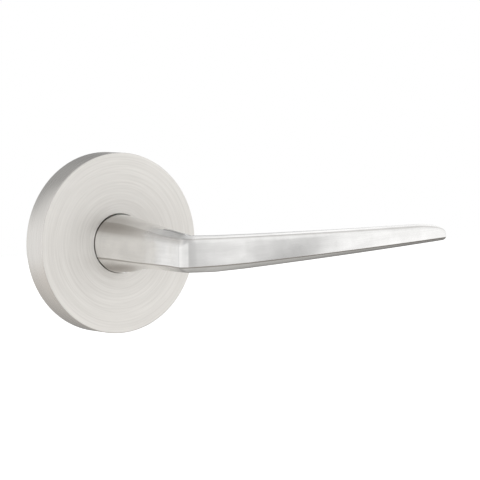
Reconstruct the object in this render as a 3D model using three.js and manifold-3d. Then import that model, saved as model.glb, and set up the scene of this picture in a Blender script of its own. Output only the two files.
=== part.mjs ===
// Lever handle lockset: the outside trim of a passage-function tubular lock, as an assembly.
// Millimetres, +Z up. The origin is on the spindle axis in the plane of the door's face.
// +X runs along the lever, +Y goes into the door, so the lever stands out towards -Y.
import * as THREE from "three";
import { mergeVertices } from "three/addons/utils/BufferGeometryUtils.js";
import Module from "manifold-3d";

const wasm = await Module();
wasm.setup();

// ---------------------------------------------------------------- driving dimensions

// Rose: a plain turned disc that covers the 54 mm hole in the door.
const ROSE_RADIUS = 33.35;
const ROSE_DEPTH = 10.8;
const ROSE_WALL = 1.2;
const ROSE_EDGE = 0.45;
const ROSE_HOLE_RADIUS = 11.1;

// Lever: round neck at the rose, rounded knee, long arm with a level top and a rising underside.
const NECK_RADIUS = 10.7;
const NECK_START = 9.3;
const NECK_TURNED = 32;
const NECK_FACE_X = -8.7;
const KNEE_RADIUS = 3.5;
const KNEE_FILLET = 9;
const ARM_FRONT = 65.8;
const ARM_END_X = 115.2;
const ARM_THICK_KNEE = 9.4;
const ARM_THICK_TIP = 5.2;

// Shank: the turned end of the lever that runs through the spring cassette.
const SHANK_RADIUS = 7.9;
const SHANK_END = 9.6;
const SHANK_FLAT = 6.3;
const RING_GROOVE = { front: 7.5, back: 8.7, radius: 6.9 };
const BEARING_RADIUS = 8.0;
const SLIDING_FIT = 0.15;

// Spindle: the square bar that turns the latch.
const SPINDLE_SIZE = 7.8;
const SPINDLE_FRONT = -24;
const SPINDLE_BACK = 38;
const SPINDLE_SOCKET = 8.2;

// Mounting plate and spring cassette.
const PLATE = { radius: 31.6, front: -2, hole: 24.9 };
const HOUSING = { radius: 24.6, wall: 1.6, front: -8.4, inner: -6.9, back: 4.7, bore: 10.1, boss: 3.2 };
const FLANGE = { radius: 28.9, front: -3.6, back: -2.3 };
const BACK_PLATE = { radius: 24.6, front: 5.0, back: 6.5, bore: 9.7, rivetHole: 2.6 };
const FRONT_BUSH = { flange: 12, sleeve: 9.9, front: -9.1, step: -8.5, back: -6.4 };
const REAR_BUSH = { flange: 11.4, sleeve: 9.5, front: 4.4, step: 4.85, back: 6.6 };
const WAVE_WASHER = { inner: 8.4, outer: 11.6, front: 3.72, back: 4.02, wave: 0.12 };
const THRUST_WASHER = { inner: 8.1, outer: 11.2, front: 6.75, back: 7.4 };
const RETAINING_RING = { outer: 10.2, gap: 0.32, play: 0.12 };
const CAM = { radius: 12.5, front: 1.3, back: 3.5, lugRadius: 21, lugHalfWidth: 3 };
const STOP_PIN = { radius: 1.8, circle: 19, gap: 0.3 };
const POST = { radius: 3.6, bore: 2.1, circle: 19, length: 20, rivet: 2.4, floor: 4 };
const TURN_RANGE = 45;

// Return spring: a torsion spring wound round the shank.
const SPRING = { radius: 12.6, wire: 0.8, front: -6.0, back: 0.3, legRadius: 17.4 };
const SPRING_LEG_ANGLE = 171;
const SPRING_TURNS = 3;
const ANCHOR_PIN = { radius: 1.6, stem: 1.25, back: -3.4, lag: 12.5 };
const CAM_FINGER = { inner: 14.6, outer: 17.6, halfWidth: 1.2, front: -1.5 };

// Fasteners.
const FLANGE_SCREW = { circle: 26.9, shank: 1.0, head: 1.85, angles: [45, 135, 225, 315] };
const COVER_SCREW = { circle: 20.2, shank: 1.2, head: 2.3, angles: [60, 220, 330] };
const CLIP_ANGLES = [0, 120, 240];
const GRUB = { radius: 2.0, forward: 17, top: -4.5, bottom: -9.3, key: 1.15, keyDepth: 2.2 };

// ---------------------------------------------------------------- materials

function metal(color, roughness, metalness = 1) {
  return new THREE.MeshStandardMaterial({ color, roughness, metalness });
}

const satinNickel = metal(0xcfcbc4, 0.35);
const platedSteel = metal(0xb9bcc0, 0.4);
const castZinc = metal(0x8f9296, 0.55);
const springSteel = metal(0x6f7175, 0.35);
const darkSteel = metal(0x3c3d40, 0.45);
const whiteNylon = metal(0xe9e6dc, 0.6, 0);

// ---------------------------------------------------------------- solids

// A closed geometry as a manifold solid.
function solid(geometry) {
  const bare = geometry.clone();
  bare.deleteAttribute("normal");
  bare.deleteAttribute("uv");
  const merged = mergeVertices(bare, 1e-4);
  const vertProperties = merged.attributes.position.array;
  const triVerts = new Uint32Array(merged.index.array);
  return new wasm.Manifold(new wasm.Mesh({ numProp: 3, vertProperties, triVerts }));
}

// A manifold solid as a geometry.
function geometryOf(made) {
  const mesh = made.getMesh();
  const geometry = new THREE.BufferGeometry();
  geometry.setAttribute("position", new THREE.BufferAttribute(mesh.vertProperties, 3));
  geometry.setIndex(new THREE.BufferAttribute(mesh.triVerts, 1));
  const flat = geometry.toNonIndexed();
  flat.computeVertexNormals();
  return flat;
}

function cut(body, ...tools) {
  return tools.reduce((left, tool) => left.subtract(tool), body);
}

function join(body, ...others) {
  return others.reduce((whole, other) => whole.add(other), body);
}

// A profile of [radius, y] points turned about the Y axis.
function turned(profile, segments = 48) {
  const points = profile.map(([radius, y]) => new THREE.Vector2(radius, y));
  return new THREE.LatheGeometry(points, segments);
}

// A plain ring about the Y axis between two planes.
function ring(inner, outer, front, back, segments = 48) {
  const profile = [
    [inner, front],
    [outer, front],
    [outer, back],
    [inner, back],
    [inner, front],
  ];
  return turned(profile, segments);
}

// A round bar along Y, centred at x, z.
function bar(radius, front, back, x = 0, z = 0, segments = 24) {
  const geometry = new THREE.CylinderGeometry(radius, radius, back - front, segments);
  return geometry.translate(x, (front + back) / 2, z);
}

// A block given by its lowest and highest corners.
function block(x0, y0, z0, x1, y1, z1) {
  const geometry = new THREE.BoxGeometry(x1 - x0, y1 - y0, z1 - z0);
  return geometry.translate((x0 + x1) / 2, (y0 + y1) / 2, (z0 + z1) / 2);
}

// A flat shape in X and Z, extruded along Y between two planes.
function plate(shape, front, back) {
  const options = { depth: back - front, bevelEnabled: false, curveSegments: 16 };
  return new THREE.ExtrudeGeometry(shape, options).rotateX(Math.PI / 2).translate(0, back, 0);
}

// A round outline as a polygon with its corners on the circle.
function circlePoints(radius, sides, x = 0, z = 0) {
  return Array.from({ length: sides }, (_, i) => {
    const angle = (2 * Math.PI * i) / sides;
    return new THREE.Vector2(x + radius * Math.cos(angle), z + radius * Math.sin(angle));
  });
}

function hole(radius, x = 0, z = 0, sides = 14) {
  return new THREE.Path(circlePoints(radius, sides, x, z));
}

function disc(radius, sides = 64) {
  return new THREE.Shape(circlePoints(radius, sides));
}

// A point on a circle round the spindle axis, at an angle in degrees from +X towards +Z.
function around(radius, degrees) {
  const angle = THREE.MathUtils.degToRad(degrees);
  return [radius * Math.cos(angle), radius * Math.sin(angle)];
}

const clamp01 = (value) => Math.min(1, Math.max(0, value));
const smooth = (value, from, to) => THREE.MathUtils.smoothstep(value, from, to);
const mix = (a, b, share) => a + (b - a) * share;

// Straight-line interpolation through a short list of [position, value] pairs.
function along(pairs, position) {
  const next = pairs.findIndex(([place]) => place >= position);
  if (next === 0) return pairs[0][1];
  if (next < 0) return pairs[pairs.length - 1][1];
  const [p0, v0] = pairs[next - 1];
  const [p1, v1] = pairs[next];
  return mix(v0, v1, (position - p0) / (p1 - p0));
}

// ---------------------------------------------------------------- lever

// Heights of the lever's edges. The neck is measured forward from the door, the arm along X.
const NECK_EDGES = {
  top: [[ROSE_DEPTH, 10.7], [29, 9.3], [40, 8.1], [51, 6.9], [58, 6.1], [64, 5.8]],
  topCrease: [[ROSE_DEPTH, 7.4], [25, 6.7], [37, 5.8], [48, 5.0], [56, 4.5], [66, 4.3]],
  bottomCrease: [[ROSE_DEPTH, -4.9], [24, -5.4], [36, -5.7], [57, -5.7], [66, -5.9]],
  bottom: [[ROSE_DEPTH, -10.7], [17, -10.2], [25, -9.3], [34, -8.5], [44, -8.2], [66, -8.1]],
};
const ARM_EDGES = {
  top: [[-6, 5.8], [8, 5.2], [24, 5.15], [60, 5.6], [100, 6.2]],
  topCrease: [[-6, 4.3], [8, 4.15], [24, 4.3], [60, 4.7], [100, 5.25]],
  bottomCrease: [[-6, -5.9], [8, -5.6], [20, -5.1], [ARM_END_X, 0.65]],
  bottom: [[-6, -8.1], [7, -8.3], [20, -7.6], [ARM_END_X, -0.7]],
};
const TIP_ROUND = { length: 15, drop: 3.1 };
const RIDGE_SHARE = 0.45;
const CREASE_INSET = 0.3;
const SHOULDER_ROLL = 0.55;

const EDGE_POINTS = { face: 8, bevel: 3, back: 4 };

const armFront = (x) => ARM_FRONT + 0.045 * (x + 5.2) - ((x + 5.2) * (x + 5.2)) / 1250;
const armThickness = (x) => mix(ARM_THICK_KNEE, ARM_THICK_TIP, clamp01((x - 8) / (ARM_END_X - 8)));
const neckOuter = (forward) =>
  along([[ROSE_DEPTH - 1, -NECK_RADIUS], [22, -9.5], [ARM_FRONT, NECK_FACE_X]], forward);
const neckInner = (forward) =>
  along([[ROSE_DEPTH + 1, NECK_RADIUS], [18, 9.7], [26, 8.4], [36, 5.9], [47, 2.6]], forward);

// The knee's inner fillet: its centre lies inside the bend, and stations fan out from it.
const FILLET_X = neckInner(47) + KNEE_FILLET;
const FILLET_FORWARD = armFront(FILLET_X) - armThickness(FILLET_X) - KNEE_FILLET;

// Each station is a slice across the lever: its outer and inner edge in plan, and its heights.
function stations() {
  const list = [];
  const neckStops = [9.3, 10.2, 11, 12, 13.5, 15, 17, 19.5, 22, 25, 28, 31, 34, 37, 40, 43];
  for (const forward of [...neckStops, FILLET_FORWARD]) {
    list.push({
      outer: [neckOuter(forward), forward],
      inner: [neckInner(forward), forward],
      heights: heightsAt(NECK_EDGES, forward),
      forward,
    });
  }
  const fanSteps = 14;
  for (let i = 1; i < fanSteps; i++) list.push(fanStation(i / fanSteps));
  const armStops = [FILLET_X, 16, 21, 27, 34, 42, 50, 58, 66, 74, 82, 90, 96, 100, 103, 106, 108.5];
  const tipStops = [110.5, 112, 113.2, 114, 114.6, 115];
  for (const x of [...armStops, ...tipStops, ARM_END_X]) {
    list.push({
      outer: [x, armFront(x)],
      inner: [x, armFront(x) - armThickness(x)],
      heights: heightsAt(ARM_EDGES, x, x),
      forward: ARM_FRONT,
    });
  }
  return list;
}

// A slice through the knee, seen along a ray from the fillet's centre at a share of the turn.
function fanStation(share) {
  const turn = (share * Math.PI) / 2;
  const ray = [-Math.cos(turn), Math.sin(turn)];
  let near = KNEE_FILLET;
  let far = 60;
  for (let step = 0; step < 40; step++) {
    const reach = (near + far) / 2;
    const x = FILLET_X + ray[0] * reach;
    const forward = FILLET_FORWARD + ray[1] * reach;
    if (insideKnee(x, forward)) near = reach;
    else far = reach;
  }
  const outer = [FILLET_X + ray[0] * near, FILLET_FORWARD + ray[1] * near];
  const neck = heightsAt(NECK_EDGES, outer[1]);
  const arm = heightsAt(ARM_EDGES, outer[0]);
  const heights = {};
  for (const edge in neck) heights[edge] = mix(neck[edge], arm[edge], smooth(share, 0.2, 0.6));
  return {
    outer,
    inner: [FILLET_X + ray[0] * KNEE_FILLET, FILLET_FORWARD + ray[1] * KNEE_FILLET],
    heights,
    forward: Math.max(outer[1], 48),
  };
}

// True inside the knee's rounded outer corner, in plan.
function insideKnee(x, forward) {
  const left = neckOuter(forward);
  const front = armFront(Math.max(x, -5.2));
  if (x < left || forward > front) return false;
  const dx = x - (NECK_FACE_X + KNEE_RADIUS);
  const dy = forward - (ARM_FRONT - KNEE_RADIUS);
  return dx > 0 || dy < 0 || Math.hypot(dx, dy) < KNEE_RADIUS;
}

function heightsAt(edges, position, x = 0) {
  const reach = clamp01((x - (ARM_END_X - TIP_ROUND.length)) / TIP_ROUND.length);
  const drop = TIP_ROUND.drop * (1 - Math.sqrt(1 - reach * reach));
  return {
    top: along(edges.top, position) - drop,
    topCrease: along(edges.topCrease, position) - drop * 0.85,
    bottomCrease: along(edges.bottomCrease, position),
    bottom: along(edges.bottom, position),
  };
}

// One edge of the section: points from a to b, bulging outwards by a parabola.
function edgePoints(a, b, count, bulge, roll = 0) {
  const length = Math.hypot(b[0] - a[0], b[1] - a[1]);
  const out = [-(b[1] - a[1]) / length, (b[0] - a[0]) / length];
  return Array.from({ length: count }, (_, i) => {
    const t = i / count;
    const lift = bulge * 4 * t * (1 - t) - roll * smooth(t, 0.6, 1) * t;
    return [mix(a[0], b[0], t) + out[0] * lift, mix(a[1], b[1], t) + out[1] * lift];
  });
}

// The section's points as [distance from the outer edge, height], round from the front face.
function section({ heights, forward }, thickness) {
  const { top, topCrease, bottomCrease, bottom } = heights;
  const ridge = thickness * RIDGE_SHARE;
  const inset = CREASE_INSET;
  const roll = SHOULDER_ROLL;
  const corners = [
    [inset, bottomCrease],
    [inset + roll, topCrease],
    [ridge, top],
    [thickness - inset, topCrease],
    [thickness - inset, bottomCrease],
    [ridge, bottom],
  ];
  const { face, bevel, back } = EDGE_POINTS;
  const counts = [face, bevel, bevel, back, bevel, bevel];
  const bulges = [0.3, 0.12, 0.12, 0.3, 0.12, 0.12];
  const formed = corners.flatMap((corner, i) =>
    edgePoints(corner, corners[(i + 1) % corners.length], counts[i], bulges[i]),
  );
  const circleStops = [207, 133, 90, 47, -27, -90, -153];
  const round = counts.flatMap((count, i) =>
    Array.from({ length: count }, (_, k) => {
      const [x, z] = around(NECK_RADIUS, mix(circleStops[i], circleStops[i + 1], k / count));
      return [x + thickness / 2, z];
    }),
  );
  return formed.map(([s, z], i) => {
    const upper = i > face / 2 && i < face + 2 * bevel + back / 2;
    const share = upper ? smooth(forward, ROSE_DEPTH - 2, 30) : smooth(forward, ROSE_DEPTH - 4, 22);
    return [mix(round[i][0], s, share), mix(round[i][1], z, share)];
  });
}

// Skins neighbouring stations together and closes both ends.
function loft(rings) {
  const count = rings[0].length;
  const positions = rings.flat(2);
  const index = [];
  for (let i = 0; i + 1 < rings.length; i++) {
    for (let k = 0; k < count; k++) {
      const a = i * count + k;
      const b = i * count + ((k + 1) % count);
      index.push(a, b + count, b, a, a + count, b + count);
    }
  }
  const last = (rings.length - 1) * count;
  for (let k = 1; k + 1 < count; k++) {
    index.push(0, k, k + 1, last, last + k + 1, last + k);
  }
  const geometry = new THREE.BufferGeometry();
  geometry.setAttribute("position", new THREE.Float32BufferAttribute(positions, 3));
  geometry.setIndex(index);
  return geometry;
}

// The neck is turned round first, so no facet near the rose stands outside its circle.
function handle() {
  const rings = stations().map((station) => {
    const { outer, inner } = station;
    const dx = inner[0] - outer[0];
    const dy = inner[1] - outer[1];
    const thickness = Math.hypot(dx, dy);
    return section(station, thickness).map(([s, z]) => {
      const x = outer[0] + (dx / thickness) * s;
      const inward = station.forward < NECK_TURNED ? Math.min(1, NECK_RADIUS / Math.hypot(x, z)) : 1;
      return [x * inward, -(outer[1] + (dy / thickness) * s), z * inward];
    });
  });
  return loft(rings);
}

function lever() {
  const { front, back, radius } = RING_GROOVE;
  const shank = turned([
    [0, -NECK_START - 1],
    [SHANK_RADIUS, -NECK_START - 1],
    [SHANK_RADIUS, front],
    [radius, front],
    [radius, back],
    [SHANK_RADIUS, back],
    [SHANK_RADIUS, SHANK_END - 0.4],
    [SHANK_RADIUS - 0.4, SHANK_END],
    [0, SHANK_END],
  ]);
  const socketHalf = SPINDLE_SOCKET / 2;
  const socketFront = SPINDLE_FRONT - 0.4;
  const socket = block(-socketHalf, socketFront, -socketHalf, socketHalf, SHANK_END + 1, socketHalf);
  const flatFront = CAM.front - 0.4;
  const flatBack = SHANK_END + 1;
  const beyond = SHANK_RADIUS + 1;
  const upperFlat = block(-beyond, flatFront, SHANK_FLAT, beyond, flatBack, beyond);
  const lowerFlat = block(-beyond, flatFront, -beyond, beyond, flatBack, -SHANK_FLAT);
  const drill = GRUB.radius + SLIDING_FIT;
  const drillLength = NECK_RADIUS + 1;
  const grubHole = new THREE.CylinderGeometry(drill, drill, drillLength, 24);
  grubHole.rotateX(Math.PI / 2).translate(0, -GRUB.forward, -socketHalf + 0.3 - drillLength / 2);
  const body = join(solid(handle()), solid(shank));
  return geometryOf(cut(body, solid(socket), solid(upperFlat), solid(lowerFlat), solid(grubHole)));
}

// ---------------------------------------------------------------- rose and mounting plate

function roseCover() {
  const inside = ROSE_RADIUS - ROSE_WALL;
  const edge = ROSE_EDGE;
  return turned(
    [
      [ROSE_HOLE_RADIUS, -ROSE_DEPTH + 0.2],
      [ROSE_HOLE_RADIUS + 0.2, -ROSE_DEPTH],
      [ROSE_RADIUS - edge, -ROSE_DEPTH],
      [ROSE_RADIUS - 0.3 * edge, -ROSE_DEPTH + 0.3 * edge],
      [ROSE_RADIUS, -ROSE_DEPTH + edge],
      [ROSE_RADIUS, 0],
      [inside, 0],
      [inside, -ROSE_DEPTH + ROSE_WALL + 0.6],
      [inside - 0.6, -ROSE_DEPTH + ROSE_WALL],
      [ROSE_HOLE_RADIUS, -ROSE_DEPTH + ROSE_WALL],
      [ROSE_HOLE_RADIUS, -ROSE_DEPTH + 0.2],
    ],
    72,
  );
}

function mountingPlate() {
  const shape = disc(PLATE.radius);
  shape.holes.push(hole(PLATE.hole, 0, 0, 64));
  for (const angle of FLANGE_SCREW.angles) {
    shape.holes.push(hole(FLANGE_SCREW.shank + SLIDING_FIT, ...around(FLANGE_SCREW.circle, angle)));
  }
  return plate(shape, PLATE.front, 0);
}

// A leaf that is fixed to the mounting plate and springs out against the rose's inner wall.
function roseClip() {
  const leaf = new THREE.Shape();
  const foot = PLATE.front - 0.15;
  leaf.moveTo(29.3, foot);
  leaf.lineTo(31.0, foot);
  leaf.lineTo(31.5, foot - 0.5);
  leaf.lineTo(31.9, foot - 2.8);
  leaf.lineTo(31.2, foot - 5.2);
  leaf.lineTo(30.8, foot - 5.2);
  leaf.lineTo(31.4, foot - 2.8);
  leaf.lineTo(31.1, foot - 0.5);
  leaf.lineTo(29.3, foot - 0.5);
  const width = 7;
  const geometry = new THREE.ExtrudeGeometry(leaf, { depth: width, bevelEnabled: false });
  return geometry.translate(0, 0, -width / 2);
}

function doorSpur() {
  return turned([
    [0, -0.3],
    [1.1, -0.3],
    [1.1, 2.2],
    [0, 3.6],
  ], 16).translate(0, 0.4, 0);
}

// ---------------------------------------------------------------- spring cassette

function springHousing() {
  const { radius, wall, front, inner, back, bore, boss } = HOUSING;
  const cup = turned([
    [bore, front],
    [radius - 0.8, front],
    [radius, front + 0.8],
    [radius, FLANGE.front],
    [FLANGE.radius, FLANGE.front],
    [FLANGE.radius, FLANGE.back],
    [radius, FLANGE.back],
    [radius, back],
    [radius - wall, back],
    [radius - wall, inner],
    [bore, inner],
    [bore, front],
  ]);
  const bosses = COVER_SCREW.angles.map((angle) =>
    solid(bar(boss, inner - 0.5, back, ...around(COVER_SCREW.circle, angle))),
  );
  const tapped = COVER_SCREW.angles.map((angle) =>
    solid(bar(COVER_SCREW.shank + SLIDING_FIT, back - 6, back + 1, ...around(COVER_SCREW.circle, angle), 16)),
  );
  const clearance = FLANGE_SCREW.angles.map((angle) => {
    const [x, z] = around(FLANGE_SCREW.circle, angle);
    return solid(bar(FLANGE_SCREW.shank + 0.2, FLANGE.front - 1, FLANGE.back + 1, x, z, 16));
  });
  const anchor = solid(bar(ANCHOR_PIN.stem + 0.2, front - 1, inner + 1, ...anchorPlace(), 16));
  return geometryOf(cut(join(solid(cup), ...bosses), ...tapped, ...clearance, anchor));
}

function backPlate() {
  const shape = disc(BACK_PLATE.radius);
  shape.holes.push(hole(BACK_PLATE.bore, 0, 0, 48));
  for (const angle of COVER_SCREW.angles) {
    shape.holes.push(hole(COVER_SCREW.shank + 0.2, ...around(COVER_SCREW.circle, angle)));
  }
  for (const angle of stopAngles()) {
    shape.holes.push(hole(STOP_PIN.radius - 0.45, ...around(STOP_PIN.circle, angle)));
  }
  for (const angle of [90, 270]) shape.holes.push(hole(BACK_PLATE.rivetHole, ...around(POST.circle, angle)));
  return plate(shape, BACK_PLATE.front, BACK_PLATE.back);
}

// A flanged sleeve about the Y axis: its flange runs from one face to the step.
function bush({ flange, sleeve, front, step, back }) {
  return turned([
    [BEARING_RADIUS, front],
    [flange, front],
    [flange, step],
    [sleeve, step],
    [sleeve, back],
    [BEARING_RADIUS, back],
    [BEARING_RADIUS, front],
  ]);
}

// The stop pins stand where the cam's lug meets them at rest and at the end of the turn.
function stopAngles() {
  const reach = CAM.lugHalfWidth + STOP_PIN.radius + STOP_PIN.gap;
  const offset = THREE.MathUtils.radToDeg(Math.asin(reach / STOP_PIN.circle));
  return [180 + offset, 180 - TURN_RANGE - offset];
}

function stopPin() {
  const { radius } = STOP_PIN;
  const stem = radius - 0.6;
  return turned([
    [0, CAM.front - 1.5],
    [radius, CAM.front - 1.5],
    [radius, BACK_PLATE.front - 0.2],
    [stem, BACK_PLATE.front - 0.2],
    [stem, BACK_PLATE.back + 0.3],
    [0, BACK_PLATE.back + 0.3],
  ], 20);
}

function anchorPlace() {
  return around(SPRING.legRadius - 1, SPRING_LEG_ANGLE - ANCHOR_PIN.lag);
}

function springAnchorPin() {
  const { radius, stem, back } = ANCHOR_PIN;
  return turned([
    [0, HOUSING.front + 0.2],
    [stem, HOUSING.front + 0.2],
    [stem, HOUSING.inner + 0.2],
    [radius, HOUSING.inner + 0.2],
    [radius, back],
    [0, back],
  ], 20);
}

// The wire's centre line: a leg in, a helix that closes as the lever turns down, and a leg out.
class SpringPath extends THREE.Curve {
  getPoint(t, target = new THREE.Vector3()) {
    const legShare = 0.05;
    const wound = clamp01((t - legShare) / (1 - 2 * legShare));
    const degrees = SPRING_LEG_ANGLE - wound * 360 * SPRING_TURNS;
    const out = Math.max(0, legShare - t, t - 1 + legShare) / legShare;
    const [x, z] = around(mix(SPRING.radius, SPRING.legRadius, out), degrees);
    return target.set(x, mix(SPRING.front, SPRING.back, wound), z);
  }
}

function returnSpring() {
  const options = { steps: 84, bevelEnabled: false, extrudePath: new SpringPath() };
  return new THREE.ExtrudeGeometry(disc(SPRING.wire, 8), options);
}

// The cam is keyed to the shank's two flats. Its lug meets the stops, its finger loads the spring.
function driveCam() {
  const { radius, front, back, lugRadius, lugHalfWidth } = CAM;
  const shape = disc(radius);
  const bore = new THREE.Path();
  const boreRadius = SHANK_RADIUS + SLIDING_FIT;
  const flat = Math.asin((SHANK_FLAT + SLIDING_FIT) / boreRadius);
  bore.absarc(0, 0, boreRadius, -flat, flat, false);
  bore.absarc(0, 0, boreRadius, Math.PI - flat, Math.PI + flat, false);
  bore.closePath();
  shape.holes.push(bore);
  const lug = block(-lugRadius, front, -lugHalfWidth, -radius + 1, back, lugHalfWidth);
  const { inner, outer, halfWidth } = CAM_FINGER;
  const finger = block(-outer, CAM_FINGER.front, -halfWidth, -inner, front + 0.5, halfWidth);
  return geometryOf(join(solid(plate(shape, front, back)), solid(lug), solid(finger)));
}

function thrustWasher() {
  const { inner, outer, front, back } = THRUST_WASHER;
  return ring(inner, outer, front, back);
}

// A thin washer with three waves, which takes up the end play between cam and bush.
function waveWasher() {
  const { inner, outer, front, back, wave } = WAVE_WASHER;
  const geometry = ring(inner, outer, front, back, 36);
  const place = geometry.attributes.position;
  for (let i = 0; i < place.count; i++) {
    const angle = Math.atan2(place.getZ(i), place.getX(i));
    place.setY(i, place.getY(i) + wave * Math.cos(3 * angle));
  }
  return geometry;
}

// ---------------------------------------------------------------- shafts, rings and fasteners

function retainingRing() {
  const { front, back, radius } = RING_GROOVE;
  const { outer, gap, play } = RETAINING_RING;
  const shape = new THREE.Shape();
  shape.absarc(0, 0, outer, gap, 2 * Math.PI - gap, false);
  shape.absarc(0, 0, radius + SLIDING_FIT, 2 * Math.PI - gap, gap, true);
  shape.closePath();
  return plate(shape, front + play, back - play);
}

function spindle() {
  const half = SPINDLE_SIZE / 2;
  const chamfer = 0.6;
  const shape = new THREE.Shape();
  shape.moveTo(-half + chamfer, -half);
  for (const [x, z] of [[1, -1], [1, 1], [-1, 1], [-1, -1]]) {
    const turnsUp = x === z;
    const first = turnsUp ? [x * half, z * (half - chamfer)] : [x * (half - chamfer), z * half];
    const second = turnsUp ? [x * (half - chamfer), z * half] : [x * half, z * (half - chamfer)];
    shape.lineTo(...first);
    shape.lineTo(...second);
  }
  shape.closePath();
  return plate(shape, SPINDLE_FRONT, SPINDLE_BACK);
}

// A hexagon-socket grub screw, which clamps the lever to the spindle from below.
function grubScrew() {
  const length = GRUB.top - GRUB.bottom;
  const body = turned([
    [0, 0],
    [GRUB.radius - 0.3, 0],
    [GRUB.radius, 0.3],
    [GRUB.radius, length - 0.8],
    [GRUB.radius - 0.8, length],
    [0, length],
  ], 24);
  const key = bar(GRUB.key, -1, GRUB.keyDepth, 0, 0, 6);
  return geometryOf(cut(solid(body), solid(key))).rotateX(Math.PI / 2);
}

// A pan-head machine screw with a cross recess, pointing along +Y from the underside of its head.
function panScrew(shankRadius, headRadius, length) {
  const headHeight = headRadius * 0.75;
  const body = turned([
    [0, -headHeight],
    [headRadius * 0.6, -headHeight],
    [headRadius, -headHeight * 0.45],
    [headRadius, 0],
    [shankRadius, 0],
    [shankRadius, length - 0.4],
    [shankRadius - 0.4, length],
    [0, length],
  ], 12);
  const slot = 0.22 * headRadius;
  const arm = 0.62 * headRadius;
  const deep = -headHeight * 0.35;
  const crosses = [block(-arm, -4, -slot, arm, deep, slot), block(-slot, -4, -arm, slot, deep, arm)];
  return geometryOf(cut(solid(body), ...crosses.map(solid)));
}

// A threaded post that stands on the back plate and takes the screw from the inside trim.
function post() {
  const { radius, bore, length, rivet, floor } = POST;
  const foot = BACK_PLATE.back + 0.15;
  const end = BACK_PLATE.back + length;
  return turned([
    [0, BACK_PLATE.front + 0.2],
    [rivet, BACK_PLATE.front + 0.2],
    [rivet, foot],
    [radius, foot],
    [radius, end - 0.4],
    [radius - 0.4, end],
    [bore, end],
    [bore, foot + floor],
    [0, foot + floor],
  ], 24);
}

// ---------------------------------------------------------------- assembly

const assembly = new THREE.Group();

function add(name, geometry, material, position = [0, 0, 0], turnAboutY = 0) {
  const mesh = new THREE.Mesh(geometry, material);
  mesh.name = name;
  mesh.position.set(...position);
  mesh.rotation.y = -THREE.MathUtils.degToRad(turnAboutY);
  assembly.add(mesh);
}

// Turns a geometry that points along +Y round to point along -Y.
function reversed(geometry) {
  return geometry.rotateX(Math.PI);
}

add("lever", lever(), satinNickel);
add("rose_cover", roseCover(), satinNickel);
add("mounting_plate", mountingPlate(), platedSteel);
add("spring_housing", springHousing(), castZinc);
add("back_plate", backPlate(), platedSteel);
add("front_bush", bush(FRONT_BUSH), whiteNylon);
add("rear_bush", bush(REAR_BUSH), whiteNylon);
add("return_spring", returnSpring(), springSteel);
add("drive_cam", driveCam(), castZinc);
add("wave_washer", waveWasher(), springSteel);
add("thrust_washer", thrustWasher(), platedSteel);
add("retaining_ring", retainingRing(), springSteel);
add("spindle", spindle(), platedSteel);
add("spindle_grub_screw", grubScrew(), darkSteel, [0, -GRUB.forward, GRUB.bottom]);

const [anchorX, anchorZ] = anchorPlace();
add("spring_anchor_pin", springAnchorPin(), darkSteel, [anchorX, 0, anchorZ]);
stopAngles().forEach((angle, i) => {
  const [x, z] = around(STOP_PIN.circle, angle);
  add(["rest_stop_pin", "travel_stop_pin"][i], stopPin(), darkSteel, [x, 0, z]);
});
[["upper_post", 90], ["lower_post", 270]].forEach(([name, angle]) => {
  const [x, z] = around(POST.circle, angle);
  add(name, post(), platedSteel, [x, 0, z]);
});
[["left_door_spur", -29], ["right_door_spur", 29]].forEach(([name, x]) => {
  add(name, doorSpur(), darkSteel, [x, 0, 0]);
});
CLIP_ANGLES.forEach((angle, i) => {
  add(`rose_clip_${i + 1}`, roseClip(), springSteel, [0, 0, 0], angle);
});
FLANGE_SCREW.angles.forEach((angle, i) => {
  const [x, z] = around(FLANGE_SCREW.circle, angle);
  const screw = panScrew(FLANGE_SCREW.shank, FLANGE_SCREW.head, 3.4);
  add(`flange_screw_${i + 1}`, screw, darkSteel, [x, FLANGE.front - 0.15, z]);
});
COVER_SCREW.angles.forEach((angle, i) => {
  const [x, z] = around(COVER_SCREW.circle, angle);
  const screw = reversed(panScrew(COVER_SCREW.shank, COVER_SCREW.head, 6));
  add(`cover_screw_${i + 1}`, screw, darkSteel, [x, BACK_PLATE.back + 0.15, z]);
});

export default assembly;
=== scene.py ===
import bmesh
import bpy
import numpy as np
from mathutils import Matrix, Vector


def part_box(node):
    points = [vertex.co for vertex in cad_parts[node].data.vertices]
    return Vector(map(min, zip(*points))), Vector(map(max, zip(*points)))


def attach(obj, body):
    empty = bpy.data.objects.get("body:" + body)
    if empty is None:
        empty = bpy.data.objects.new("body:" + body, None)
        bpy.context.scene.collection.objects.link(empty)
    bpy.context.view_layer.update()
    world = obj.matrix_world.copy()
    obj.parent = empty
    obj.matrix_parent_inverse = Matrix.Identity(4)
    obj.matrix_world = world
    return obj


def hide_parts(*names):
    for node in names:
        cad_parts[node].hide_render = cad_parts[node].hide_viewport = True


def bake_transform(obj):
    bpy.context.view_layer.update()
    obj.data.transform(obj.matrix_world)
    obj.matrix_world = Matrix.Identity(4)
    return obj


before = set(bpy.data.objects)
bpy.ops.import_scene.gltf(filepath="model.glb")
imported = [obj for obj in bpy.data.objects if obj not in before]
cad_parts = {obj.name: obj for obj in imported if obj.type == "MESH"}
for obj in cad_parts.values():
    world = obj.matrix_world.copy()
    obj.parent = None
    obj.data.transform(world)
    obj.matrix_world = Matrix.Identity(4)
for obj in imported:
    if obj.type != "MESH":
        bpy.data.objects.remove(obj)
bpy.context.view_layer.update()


# ------------------------------------------------------------------ camera
# A long lens a metre away, 35 degrees round to the left of the lever and a little above it,
# aimed so that the whole lever fits with the rose on the left.
rose_low, rose_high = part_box("rose_cover")
rose_face = Vector((0, rose_low.y, 0))
azimuth, elevation = np.radians(-34.61), np.radians(3.33)
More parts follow.
